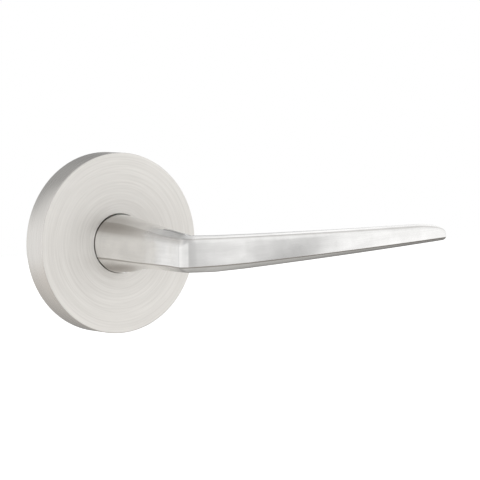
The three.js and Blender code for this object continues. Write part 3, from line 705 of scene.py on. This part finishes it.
open_ring = eased(prism("open_ring", ring_outline, 7.62, 8.58), 0.12)
fitted(open_ring, spring_steel, "lever_assembly", "spring_steel", "retaining_ring")


# ------------------------------------------------------------------ spindle
# A square steel bar, cold drawn and zinc plated, with its corners and ends chamfered. It runs
# from a socket in the lever's neck, through the cassette and into the latch.
SPINDLE_HALF, SPINDLE_FRONT, SPINDLE_BACK = 3.9, -24.0, 38.0
CHAMFER_STARTS = 0.85
chamfered = []
for x, z in [(1, -1), (1, 1), (-1, 1), (-1, -1)]:
    on_side, on_top = (x, z * CHAMFER_STARTS), (x * CHAMFER_STARTS, z)
    chamfered += [on_side, on_top] if x == z else [on_top, on_side]
chamfered = np.array(chamfered)[:, None]
side_steps = np.linspace(0, 1, 6, endpoint=False)[None, :, None]
square_outline = chamfered * (1 - side_steps) + np.roll(chamfered, -1, 0) * side_steps
square_outline = square_outline.reshape(-1, 2) * SPINDLE_HALF
lengthways = [
    (0.0, SPINDLE_FRONT), (0.9, SPINDLE_FRONT), (1.0, SPINDLE_FRONT + 0.4),
    (1.0, SPINDLE_BACK - 0.5), (0.87, SPINDLE_BACK), (0.0, SPINDLE_BACK),
]
bar_grid = np.array([
    np.stack([square_outline[:, 0] * s, np.full(len(square_outline), y), square_outline[:, 1] * s], -1)
    for s, y in lengthways
])
square_bar = skin("square_bar", bar_grid)
fitted(square_bar, zinc_plate, "lever_assembly", "plated_steel", "spindle")


# ------------------------------------------------------------------ grub screw
# A blackened set screw with a hexagon socket, in the underside of the neck. It bears on the
# spindle and clamps the lever to it.
screw_low, screw_high = (np.array(corner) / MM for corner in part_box("spindle_grub_screw"))
GRUB_RADIUS = (screw_high[0] - screw_low[0]) / 2
GRUB_FORWARD = -(screw_high[1] + screw_low[1]) / 2
grub_length = screw_high[2] - screw_low[2]
grub_profile = rounded(
    [
        [0, 0], [GRUB_RADIUS - 0.3, 0], [GRUB_RADIUS, 0.3], [GRUB_RADIUS, grub_length - 0.8],
        [GRUB_RADIUS - 0.8, grub_length], [0.7, grub_length], [0, grub_length - 0.5],
    ],
    [0.1, 0, 0, 0.1, 0.1],
)
grub = spun("set_screw", grub_profile, 48, thread=(GRUB_RADIUS, 0.35, grub_length - 0.85, 0.7, -0.25))
carved(grub, [prism("key_socket", circle(1.15, sides=6), -1, 2.2)])
grub_place = Vector((0, -GRUB_FORWARD, screw_low[2])) * MM
grub.data.transform(Matrix.Translation(grub_place) @ Matrix.Rotation(np.pi / 2, 4, "X"))
fitted(grub, black_oxide, "lever_assembly", "black_steel", "spindle_grub_screw")


# ------------------------------------------------------------------ rose
# The rose is a plain disc, spun from thin sheet and turned on a lathe, then plated in satin nickel.
# It snaps over the mounting plate, and its face keeps the fine circles of the turning tool.
ROSE_RADIUS = rose_high.x / MM
ROSE_DEPTH = -rose_low.y / MM
ROSE_HOLE, ROSE_WALL = 11.0, 1.2
rose_inside = ROSE_RADIUS - ROSE_WALL
rose = spun("rose", rounded(
    [
        [ROSE_HOLE, -ROSE_DEPTH + 0.6], [ROSE_HOLE, -ROSE_DEPTH], [ROSE_RADIUS, -ROSE_DEPTH],
        [ROSE_RADIUS, 0], [rose_inside, 0], [rose_inside, -ROSE_DEPTH + ROSE_WALL],
        [ROSE_HOLE, -ROSE_DEPTH + ROSE_WALL], [ROSE_HOLE, -ROSE_DEPTH + 0.6],
    ],
    [0.2, 0.4, 0.15, 0.15, 0.8, 0.15],
), 256)


def streaks(tree, across, along_lines, lines_a_metre):
    """Fine lines: noise that changes fast across them, and slowly with the one or two values that
    change along them."""
    joined = tree.nodes.new("ShaderNodeCombineXYZ")
    tree.links.new(calculate(tree, "MULTIPLY", across, lines_a_metre), joined.inputs["X"])
    for axis, value in zip("YZ", along_lines):
        tree.links.new(value, joined.inputs[axis])
    return noise(tree, joined.outputs[0], 1.0)


def weighed(tree, first, second, share):
    """The two values added together, with that share of the second."""
    kept = calculate(tree, "MULTIPLY", first, 1 - share)
    return calculate(tree, "ADD", kept, calculate(tree, "MULTIPLY", second, share))


turned_nickel, shader, tree = metal("satin_nickel_turned", (0.83, 0.81, 0.77), 0.4, 0.15)
place = tree.nodes.new("ShaderNodeSeparateXYZ")
tree.links.new(tree.nodes.new("ShaderNodeTexCoord").outputs["Object"], place.inputs[0])
square_x = calculate(tree, "MULTIPLY", place.outputs["X"], place.outputs["X"])
square_z = calculate(tree, "MULTIPLY", place.outputs["Z"], place.outputs["Z"])
from_axis = calculate(tree, "SQRT", calculate(tree, "ADD", square_x, square_z))
across_lines = calculate(tree, "ADD", from_axis, place.outputs["Y"])
cosine = calculate(tree, "DIVIDE", place.outputs["X"], from_axis)
sine = calculate(tree, "DIVIDE", place.outputs["Z"], from_axis)
fine, broad = (
    streaks(tree, across_lines, [calculate(tree, "MULTIPLY", v, per_turn) for v in (cosine, sine)], density)
    for per_turn, density in ((2.5, 4200), (0.8, 1500))
)
lines = weighed(tree, fine, broad, 0.6)
on_rim = remap(tree, from_axis, (ROSE_RADIUS - 0.5) * MM, (ROSE_RADIUS - 0.1) * MM)

# The face is finely matted, so it scatters light evenly; the rim is smoother and mirrors the room.
tone = remap(tree, lines, 0.36, 0.64)
face_colour = mixed(tree, tone, (0.835, 0.813, 0.775), (0.93, 0.908, 0.87))
rim_colour = mixed(tree, tone, (0.72, 0.70, 0.67), (0.77, 0.75, 0.72))
tree.links.new(mixed(tree, on_rim, face_colour, rim_colour), shader.inputs["Base Color"])
tree.links.new(remap(tree, on_rim, 0, 1, 0.58, 1.0), shader.inputs["Metallic"])
face_roughness = remap(tree, lines, 0.35, 0.65, 0.54, 0.48)
rim_roughness = remap(tree, lines, 0.35, 0.65, 0.28, 0.24)
change = calculate(tree, "SUBTRACT", rim_roughness, face_roughness)
roughness = calculate(tree, "MULTIPLY_ADD", on_rim, change, face_roughness)
tree.links.new(roughness, shader.inputs["Roughness"])
relief(tree, shader, fine, 2e-5, 0.12)
around_axis = tree.nodes.new("ShaderNodeTangent")
around_axis.direction_type = "RADIAL"
around_axis.axis = "Y"
tree.links.new(around_axis.outputs[0], shader.inputs["Tangent"])
shader.inputs["Anisotropic Rotation"].default_value = 0.25
fitted(rose, turned_nickel, "rose", "satin_rose", "rose_cover")


# ------------------------------------------------------------------ lever
# The lever is forged in one piece and milled: a round neck at the rose, a knee, and a slim arm with
# a bevel above and below its face. It is ground along its length and plated in satin nickel.
NECK_RADIUS = 10.8
NECK_START = 9.3
SHANK_RADIUS = 7.9
ARM_FRONT = 65.8
ARM_END = 115.2
FACE_X = -8.7
KNEE_RADIUS = 3.0
KNEE_LEAN = np.tan(np.radians(10))
KNEE_FILLET = 9.0
KNEE_THICKNESS, TIP_THICKNESS, THINS_FROM_X = 9.4, 5.2, 8
ARM_SLOPE, BOW_FROM_X, ARM_BOW = 0.045, -5.2, 1250


def along(pairs, position, window=5.0):
    """A smooth path through a short list of (place, value) pairs: the straight-line path,
    averaged over a short window so that its corners turn gently."""
    places, values = np.array(pairs, float).T
    offsets = np.linspace(-1, 1, 9)
    weights = (1 - offsets ** 2) / (1 - offsets ** 2).sum()
    slope = np.diff(values) / np.diff(places)
    reach = 50.0
    places = np.concatenate([[places[0] - reach], places, [places[-1] + reach]])
    values = np.concatenate([[values[0] - slope[0] * reach], values, [values[-1] + slope[-1] * reach]])
    position = np.asarray(position, float)
    return sum(w * np.interp(position + o * window / 2, places, values)
               for o, w in zip(offsets, weights))


def ease(value, start, end):
    """0 before start, 1 after end, and a smooth rise between them."""
    t = np.clip((np.asarray(value, float) - start) / (end - start), 0, 1)
    return t * t * (3 - 2 * t)


NECK = {
    "top": [(10.8, 10.7), (29, 9.35), (40, 8.25), (51, 7.0), (58, 6.0), (64, 5.3)],
    "top_crease": [(10.8, 7.4), (25, 6.7), (37, 5.8), (48, 5.0), (56, 4.5), (66, 4.3)],
    "bottom_crease": [(10.8, -4.9), (24, -5.4), (36, -5.7), (57, -5.7), (66, -5.9)],
    "bottom": [(10.8, -10.7), (17, -10.5), (22, -10.0), (27, -9.3), (34, -8.6), (44, -8.2), (66, -8.1)],
}
ARM = {
    "top": [(-6, 5.3), (8, 5.1), (24, 5.15), (60, 5.6), (100, 6.2)],
    "top_crease": [(-6, 4.3), (8, 4.15), (24, 4.3), (60, 4.7), (100, 5.25)],
    "bottom_crease": [(-6, -5.9), (8, -5.6), (20, -5.1), (115.2, 0.65)],
    "bottom": [(-6, -8.1), (7, -8.3), (20, -7.6), (115.2, -0.7)],
}
EDGES = ("top", "top_crease", "bottom_crease", "bottom")
TIP_LENGTH = 15.0
TIP_DROP = 3.1
TIP_EASE, TIP_SLICES = 0.35, 6
KNEE_CENTRE_X = FACE_X + KNEE_RADIUS
KNEE_MEETS_X = KNEE_CENTRE_X - KNEE_RADIUS * np.sin(np.arctan(KNEE_LEAN))
FACE_TURNS_X = -3.2


def arm_front(x):
    """How far the arm's face stands out from the door: a shallow arc along X, which leans back a
    little more towards the knee, so that it runs into the knee's curve."""
    out = x - BOW_FROM_X
    towards_knee = np.maximum(FACE_TURNS_X - x, 0)
    lean = (KNEE_LEAN - ARM_SLOPE) / (2 * (FACE_TURNS_X - KNEE_MEETS_X))
    return ARM_FRONT + ARM_SLOPE * out - out ** 2 / ARM_BOW - lean * towards_knee ** 2


KNEE_CENTRE_FORWARD = arm_front(KNEE_MEETS_X) - KNEE_RADIUS * np.cos(np.arctan(KNEE_LEAN))


def arm_thickness(x):
    """The arm's thickness from face to back, thinning evenly towards the tip."""
    thinned = np.clip((x - THINS_FROM_X) / (ARM_END - THINS_FROM_X), 0, 1)
    return KNEE_THICKNESS + (TIP_THICKNESS - KNEE_THICKNESS) * thinned


def neck_outer(forward):
    """X of the neck's left side at a distance from the door."""
    return along([(10.8, -9.75), (30, -8.9), (44, -8.4), (56, -8.35), (ARM_FRONT, FACE_X)], forward)


def neck_inner(forward):
    """X of the neck's right side at a distance from the door."""
    return along([(10.8, 9.75), (18, 9.5), (26, 8.4), (36, 5.9), (47, 2.6)], forward, 10)


def edge_heights(table, place, tip=None):
    """The four edge heights at a place, with the tip's top edge falling as a quarter ellipse."""
    heights = np.stack([along(table[edge], place) for edge in EDGES], -1)
    if tip is not None:
        reach = np.clip((tip - (ARM_END - TIP_LENGTH)) / TIP_LENGTH, 0, 1)
        drop = TIP_DROP * (1 - np.sqrt(1 - reach ** 2))
        heights = heights - np.stack([drop, drop * 0.85, 0 * drop, 0 * drop], -1)
    return heights


NECK_STRAIGHT_TO = 47
fillet_x = neck_inner(NECK_STRAIGHT_TO) + KNEE_FILLET
fillet_forward = arm_front(fillet_x) - arm_thickness(fillet_x) - KNEE_FILLET

# Slices down the neck, fanned round the knee and out along the arm: each one's outer and inner
# edge in plan, its edge heights, and how far its shape has changed from round to faceted.
neck = np.concatenate([[NECK_START, 10.0], np.arange(10.6, fillet_forward, 0.45)])
neck_rows = dict(
    outer=np.stack([neck_outer(neck), neck], -1),
    inner=np.stack([neck_inner(neck), neck], -1),
    heights=edge_heights(NECK, neck),
    forward=neck,
)

# The knee's slices share the inner fillet's centre: each one's ray finds the outer edge by halving.
share = np.linspace(0, 1, 74)[1:-1]
ray = np.stack([-np.cos(share * np.pi / 2), np.sin(share * np.pi / 2)], -1)
centre = np.array([fillet_x, fillet_forward])


def in_knee(point):
    """True where a plan point is inside the knee's outline, with its outer corner rounded."""
    x, forward = point[..., 0], point[..., 1]
    dx, dy = x - KNEE_CENTRE_X, forward - KNEE_CENTRE_FORWARD
    flat = (x > neck_outer(forward)) & (forward < arm_front(np.maximum(x, KNEE_MEETS_X)))
    return flat & ((x > KNEE_MEETS_X) | (dy < 0) | (np.hypot(dx, dy) < KNEE_RADIUS))


near, far = np.full(len(share), KNEE_FILLET), np.full(len(share), 60.0)
for _ in range(40):
    middle = (near + far) / 2
    hit = in_knee(centre + ray * middle[:, None])
    near, far = np.where(hit, middle, near), np.where(hit, far, middle)
corner = centre + ray * near[:, None]
blend_share = ease(share, 0.2, 0.6)[:, None]
knee_rows = dict(
    outer=corner,
    inner=centre + ray * KNEE_FILLET,
    heights=edge_heights(NECK, corner[:, 1]) * (1 - blend_share)
    + edge_heights(ARM, corner[:, 0]) * blend_share,
    forward=np.maximum(corner[:, 1], 48),
)

# The arm's slices are a millimetre apart, and finer from just before the tip.
FINE_FROM_X = 98
arm = np.concatenate([
    np.arange(fillet_x, FINE_FROM_X, 1.0), np.linspace(FINE_FROM_X, ARM_END - TIP_EASE, 60),
])
tip_turn = np.linspace(0.15, 1, TIP_SLICES) * np.pi / 2
arm_x = np.concatenate([arm, ARM_END - TIP_EASE + TIP_EASE * np.sin(tip_turn)])
arm_rows = dict(
    outer=np.stack([arm_x, arm_front(arm_x)], -1),
    inner=np.stack([arm_x, arm_front(arm_x) - arm_thickness(arm_x)], -1),
    heights=edge_heights(ARM, arm_x, arm_x),
    forward=np.full(len(arm_x), ARM_FRONT),
)
rows = {key: np.concatenate([neck_rows[key], knee_rows[key], arm_rows[key]]) for key in neck_rows}


def bend(start, corner, stop, count):
    """Points on the curve that leaves start, aims at corner and arrives at stop."""
    t = (np.arange(count) / count)[None, :, None]
    start, corner, stop = start[:, None], corner[:, None], stop[:, None]
    return (1 - t) ** 2 * start + 2 * t * (1 - t) * corner + t ** 2 * stop


# The six corners in order: how strongly painted shade darkens each one, and then how far in from
# the outer edge the ridge and the crease lie, and how much a bevel bulges.
CREASE_SHADE = [1.0, 0.4, 0.0, 0.3, 0.3, 0.0]
RIDGE_SHARE, CREASE_IN, BEVEL_BULGE = 0.45, 0.85, 0.12
NECK_SHOULDER, ARM_SHOULDER = (0.76, 0.45), (0.86, 0.24)


def bevels(rows, distance):
    """The two top bevels that meet over the knee, at a distance in from the outer edge: how far
    across the neck's bevel and its height there, and the same for the arm's."""
    across = rows["inner"] - rows["outer"]
    across = across / np.linalg.norm(across, axis=1)[:, None]
    x, forward = np.moveaxis(rows["outer"][:, None] + across[:, None] * distance[..., None], -1, 0)
    straight = np.minimum(forward, NECK_STRAIGHT_TO)
    neck_ridge = RIDGE_SHARE * (neck_inner(straight) - neck_outer(straight)) - CREASE_IN
    arm_ridge = RIDGE_SHARE * arm_thickness(x) - CREASE_IN
    found = []
    for table, place, inward, width in (
        (NECK, forward, x - neck_outer(forward) - CREASE_IN, neck_ridge),
        (ARM, x, arm_front(x) - forward - CREASE_IN, arm_ridge),
    ):
        part = inward / width
        low, high = along(table["top_crease"], place), along(table["top"], place)
        bulge = BEVEL_BULGE * 4 * np.clip(part, 0, 1) * (1 - np.clip(part, 0, 1))
        found += [part, low + part * (high - low) + bulge]
    return found


def mitre(rows, distance):
    """Height of the top over the knee: the lower of the two bevels, with their meeting line eased."""
    _, neck_height, _, arm_height = bevels(rows, distance)
    return (neck_height + arm_height - np.sqrt((neck_height - arm_height) ** 2 + 0.02)) / 2


def knee_ridge(rows, thick):
    """How far in the ridge lies over the knee: where the lower bevel has reached its full width."""
    near, far = np.full(len(thick), CREASE_IN), thick - 1.0
    for _ in range(30):
        middle = (near + far) / 2
        neck_part, _, arm_part, _ = bevels(rows, middle[:, None])
        inside = np.minimum(neck_part, arm_part)[:, 0] < 1
        near, far = np.where(inside, middle, near), np.where(inside, far, middle)
    return near


def shoulder(rows, t):
    """How far the face stands out as it rolls over towards the top bevel: a low tent along the side,
    with its peak eased. Its peak's place and height go from the neck's to the arm's."""
    on_arm = ease(rows["outer"][:, :1], FACE_X, FACE_X + 2.5)
    peak, height = (a + (b - a) * on_arm for a, b in zip(NECK_SHOULDER, ARM_SHOULDER))
    offsets = np.linspace(-1, 1, 9)
    weights = (1 - offsets ** 2) / (1 - offsets ** 2).sum()
    return sum(w * height * np.minimum((t + o * 0.07) / peak, (1 - t - o * 0.07) / (1 - peak))
               for o, w in zip(offsets, weights))


def sections(rows):
    """Each slice's outline as [slice, point, (distance from the outer edge, height)]: six corners
    joined by slightly bulging sides, with every corner eased by a small bend."""
    top, top_crease, bottom_crease, bottom = rows["heights"].T
    thick = np.linalg.norm(rows["inner"] - rows["outer"], axis=1)
    formed = ease(rows["forward"], 20, 55)
    inset = 0.3 + 0 * thick
    knee = np.zeros(len(thick), bool)
    knee[len(neck):-len(arm_x)] = True
    ridge = np.where(knee, knee_ridge(rows, thick), RIDGE_SHARE * thick)
    top = np.where(knee, mitre(rows, ridge[:, None])[:, 0], top)
    outer_crease = np.where(knee, mitre(rows, np.full((len(thick), 1), CREASE_IN))[:, 0], top_crease)
    corners = np.stack([
        np.stack([inset, bottom_crease], -1),
        np.stack([inset + CREASE_IN - 0.3, outer_crease], -1),
        np.stack([ridge, top], -1),
        np.stack([thick - inset, top_crease], -1),
        np.stack([thick - inset, bottom_crease], -1),
        np.stack([ridge, bottom], -1),
    ], 1)
    bulges = [0.12, BEVEL_BULGE, 0.12, 0.3, 0.12, 0.12]
    soft = [0.35, 2.4, 3.2, 2.4, 0.5, 3.2]
    crisp = [0.25, 0.3, 1.2, 0.5, 0.5, 1.2]
    counts = [26, 12, 12, 18, 12, 12]
    sides = np.roll(corners, -1, axis=1) - corners
    lengths = np.linalg.norm(sides, axis=2)
    outward = np.stack([-sides[..., 1], sides[..., 0]], -1) / lengths[..., None]

    def on_side(i, t):
        """A point on side i: along it by t, and out by a parabola. Over the knee the upper outer
        side follows the neck's bevel and the arm's, whichever is lower there, so they mitre."""
        lift = bulges[i] * 4 * t * (1 - t)
        if i == 0:
            lift = lift + shoulder(rows, t)
        point = corners[:, i, None] + sides[:, i, None] * t[..., None]
        point = point + outward[:, i, None] * lift[..., None]
        if i == 1:
            point[knee, :, 1] = mitre(rows, point[..., 0])[knee]
        return point

    on_neck = 1 - ease(rows["outer"][:, :1], FACE_X + 0.1, FACE_X + 1.4)
    pieces, marks, on_bevel = [], [], []
    for i in range(6):
        before = (i - 1) % 6
        cut = soft[i] + (crisp[i] - soft[i]) * formed
        following = soft[(i + 1) % 6] + (crisp[(i + 1) % 6] - soft[(i + 1) % 6]) * formed
        enter = (1 - cut / lengths[:, before])[:, None]
        leave = (cut / lengths[:, i])[:, None]
        stop = (1 - following / lengths[:, i])[:, None]
        start_point = on_side(before, enter)[:, 0]
        end_point = on_side(i, leave)[:, 0]
        pieces.append(bend(start_point, corners[:, i], end_point, 8))
        t = leave + (stop - leave) * np.arange(counts[i])[None, :] / counts[i]
        pieces.append(on_side(i, t))
        # Painted shade: each corner's bend takes its corner's darkening, and on the neck a band of side 0
        # just under the upper crease is painted darker in place of the rolled shoulder's shading.
        shade = 0.7 * ease(t, 0.66, 0.98) * on_neck if i == 0 else 0 * t
        marks += [np.full((len(t), 8), CREASE_SHADE[i]), shade]
        on_bevel.append(np.full((len(t), 8 + counts[i]), float(i == 1)))
    hand_ground = np.concatenate(on_bevel, 1) * ease(rows["forward"][:, None], 36, 50)
    hand_ground = hand_ground * (1 - ease(rows["outer"][:, :1], FACE_X + 2, FACE_X + 6))
    return np.concatenate(pieces, 1), thick, np.concatenate(marks, 1), hand_ground


outline, thick, painted_shade, hand_ground = sections(rows)
across = (rows["inner"] - rows["outer"]) / thick[:, None]
plan = rows["outer"][:, None] + across[:, None] * outline[..., :1]
x, forward, z = plan[..., 0], plan[..., 1], outline[..., 1]

# Near the rose the slices are round: each point slides out to the neck's circle along its own ray.
angle = np.arctan2(z, x)
along_neck = rows["forward"][:, None]
from_crease = np.abs((np.degrees(angle) + 152 + 180) % 360 - 180)
creased = 1 - ease(from_crease, 8, 40)
underside = ease(-np.sin(angle), 0.3, 0.6)
plain = (1 - underside) * (1 - ease(along_neck, 8, 26)) + underside * (1 - ease(along_neck, 11, 28))
round_share = creased * (1 - ease(along_neck, 8.5, 18)) + (1 - creased) * plain
radius = np.hypot(x, z)
target = radius + (NECK_RADIUS - radius) * round_share
target = np.where(rows["forward"][:, None] < 34, np.minimum(target, NECK_RADIUS), target)
x, z = x * target / radius, z * target / radius
at_rose = 1 - ease(along_neck, 10, 24)
x, z = x - 0.08 * at_rose, z - 0.11 * at_rose

# The last slices draw in a little, so that the tip's end has an eased edge.
draw = np.zeros(len(rows["forward"]))
draw[-TIP_SLICES:] = TIP_EASE * (1 - np.cos(tip_turn))
middle_y = forward.mean(1, keepdims=True)
middle_z = z.mean(1, keepdims=True)
half_width = np.abs(forward - middle_y).max(1, keepdims=True) + 1e-6
half_height = np.abs(z - middle_z).max(1, keepdims=True) + 1e-6
forward = middle_y + (forward - middle_y) * (1 - draw[:, None] / half_width)
z = middle_z + (z - middle_z) * (1 - draw[:, None] / half_height)
handle = np.stack([x, -forward, z], -1)

# The shank behind the neck: turned, with a groove for the retaining ring, two flats for the cam,
# and the spindle's square socket in its end. Every slice keeps the neck's own point angles.
spoke = np.arctan2(handle[0, :, 2], handle[0, :, 0])
SHANK_END, SHANK_FLAT, FLATS_FROM = 9.6, 6.3, 0.9
GROOVE_RADIUS, GROOVE_FRONT, GROOVE_BACK = 6.9, 7.5, 8.7
SOCKET, SOCKET_END, SHANK_CHAMFER = 4.1, -24.4, 0.4
steps = [
    (SHANK_RADIUS, -NECK_START, False), (SHANK_RADIUS, FLATS_FROM, False),
    (SHANK_RADIUS, FLATS_FROM, True), (SHANK_RADIUS, GROOVE_FRONT, True),
    (GROOVE_RADIUS, GROOVE_FRONT, True), (GROOVE_RADIUS, GROOVE_BACK, True),
    (SHANK_RADIUS, GROOVE_BACK, True), (SHANK_RADIUS, SHANK_END - SHANK_CHAMFER, True),
    (SHANK_RADIUS - SHANK_CHAMFER, SHANK_END, True),
]
turned_rows = []
for radius_at, y, flats in steps:
    reach = np.full(len(spoke), radius_at)
    if flats:
        reach = np.minimum(reach, SHANK_FLAT / np.maximum(np.abs(np.sin(spoke)), 1e-6))
    turned_rows.append(np.stack([reach * np.cos(spoke), y + 0 * spoke, reach * np.sin(spoke)], -1))
square = SOCKET / np.maximum(np.abs(np.cos(spoke)), np.abs(np.sin(spoke)))
for share_in, y in ((1, SHANK_END), (1, SOCKET_END), (0, SOCKET_END)):
    reach = square * share_in
    turned_rows.append(np.stack([reach * np.cos(spoke), y + 0 * spoke, reach * np.sin(spoke)], -1))
shank = np.array(turned_rows[::-1])
tip_centre = handle[-1].mean(0)
tip_cap = np.broadcast_to(tip_centre, handle[-1].shape)
lever_grid = np.concatenate([shank, handle, tip_cap[None]])

# The grinding lines need the distance run along the lever and the distance round each slice.
stepped = np.linalg.norm(np.diff(lever_grid, axis=0), axis=2).mean(1)
run = np.concatenate([[0], np.cumsum(stepped)])
girth = np.linalg.norm(np.roll(lever_grid, -1, axis=1) - lever_grid, axis=2)
turn = np.concatenate([np.zeros((len(girth), 1)), np.cumsum(girth, 1)], 1)
lever_uv = np.stack([np.broadcast_to(run[:, None], turn.shape), turn], -1) * MM

# Near the rose the neck is painted darker below, a painted shade for its own shadow there, and more faintly
# at the upper left.
marks = np.zeros(lever_grid.shape[:2])
handle_angle = np.degrees(np.arctan2(handle[..., 2], handle[..., 0]))
below = 1 - ease(np.abs(handle_angle + 104), 18, 42)
above = 1 - ease(np.abs(handle_angle - 128), 12, 40)
out_from_rose = rows["forward"][:, None]
below = below * (1 - ease(out_from_rose, 20, 44))
above = above * (1 - ease(out_from_rose, 18, 48))
# These marks hold all the lever's painted shade: the corners, the shoulder band and these patches by the
# rose.
marks[len(shank):-1] = painted_shade + below + 0.7 * above
rough = np.zeros(lever_grid.shape[:2])
rough[len(shank):-1] = hand_ground
lever = skin("lever_handle", lever_grid, lever_uv, {"painted_shade": marks, "hand ground": rough})
GRUB_CLEARANCE = 0.12
grub_hole = drill(GRUB_RADIUS + GRUB_CLEARANCE, -14, -4.4, (0, -GRUB_FORWARD), axes=(0, 1, 2))
carved(lever, [grub_hole])

ground_nickel, shader, tree = metal("satin_nickel_ground", (0.80, 0.795, 0.785), 0.2, 0.8)
surface = tree.nodes.new("ShaderNodeUVMap")
surface.uv_map = "UVMap"
place = tree.nodes.new("ShaderNodeSeparateXYZ")
tree.links.new(surface.outputs[0], place.inputs[0])
length, girth_at = place.outputs["X"], place.outputs["Y"]
fine, broad = (
    streaks(tree, girth_at, [calculate(tree, "MULTIPLY", length, changes)], density)
    for changes, density in ((60, 2800), (45, 260))
)
clouds = noise(tree, tree.nodes.new("ShaderNodeTexCoord").outputs["Object"], 150, 3.0)
polish = weighed(tree, weighed(tree, fine, broad, 0.6), clouds, 0.5)
colour = mixed(tree, remap(tree, polish, 0.38, 0.62), (0.75, 0.745, 0.735), (0.86, 0.855, 0.845))
# The painted_shade attribute mixes the base colour towards a dark grey-brown: this is painted shade.
darkened, matted = (tree.nodes.new("ShaderNodeAttribute") for _ in range(2))
darkened.attribute_name = "painted_shade"
matted.attribute_name = "hand ground"
dark = calculate(tree, "MULTIPLY", darkened.outputs["Fac"], 0.8)
tree.links.new(mixed(tree, dark, colour, (0.35, 0.325, 0.30)), shader.inputs["Base Color"])
roughness = remap(tree, broad, 0.35, 0.65, 0.21, 0.17)
roughness = calculate(tree, "MULTIPLY_ADD", matted.outputs["Fac"], 0.3, roughness)
tree.links.new(roughness, shader.inputs["Roughness"])
relief(tree, shader, fine, 1e-5, 0.05)
lengthwise = tree.nodes.new("ShaderNodeTangent")
lengthwise.direction_type = "UV_MAP"
lengthwise.uv_map = "UVMap"
tree.links.new(lengthwise.outputs[0], shader.inputs["Tangent"])
shader.inputs["Anisotropic Rotation"].default_value = 0.25
fitted(lever, ground_nickel, "lever_assembly", "satin_lever", "lever")
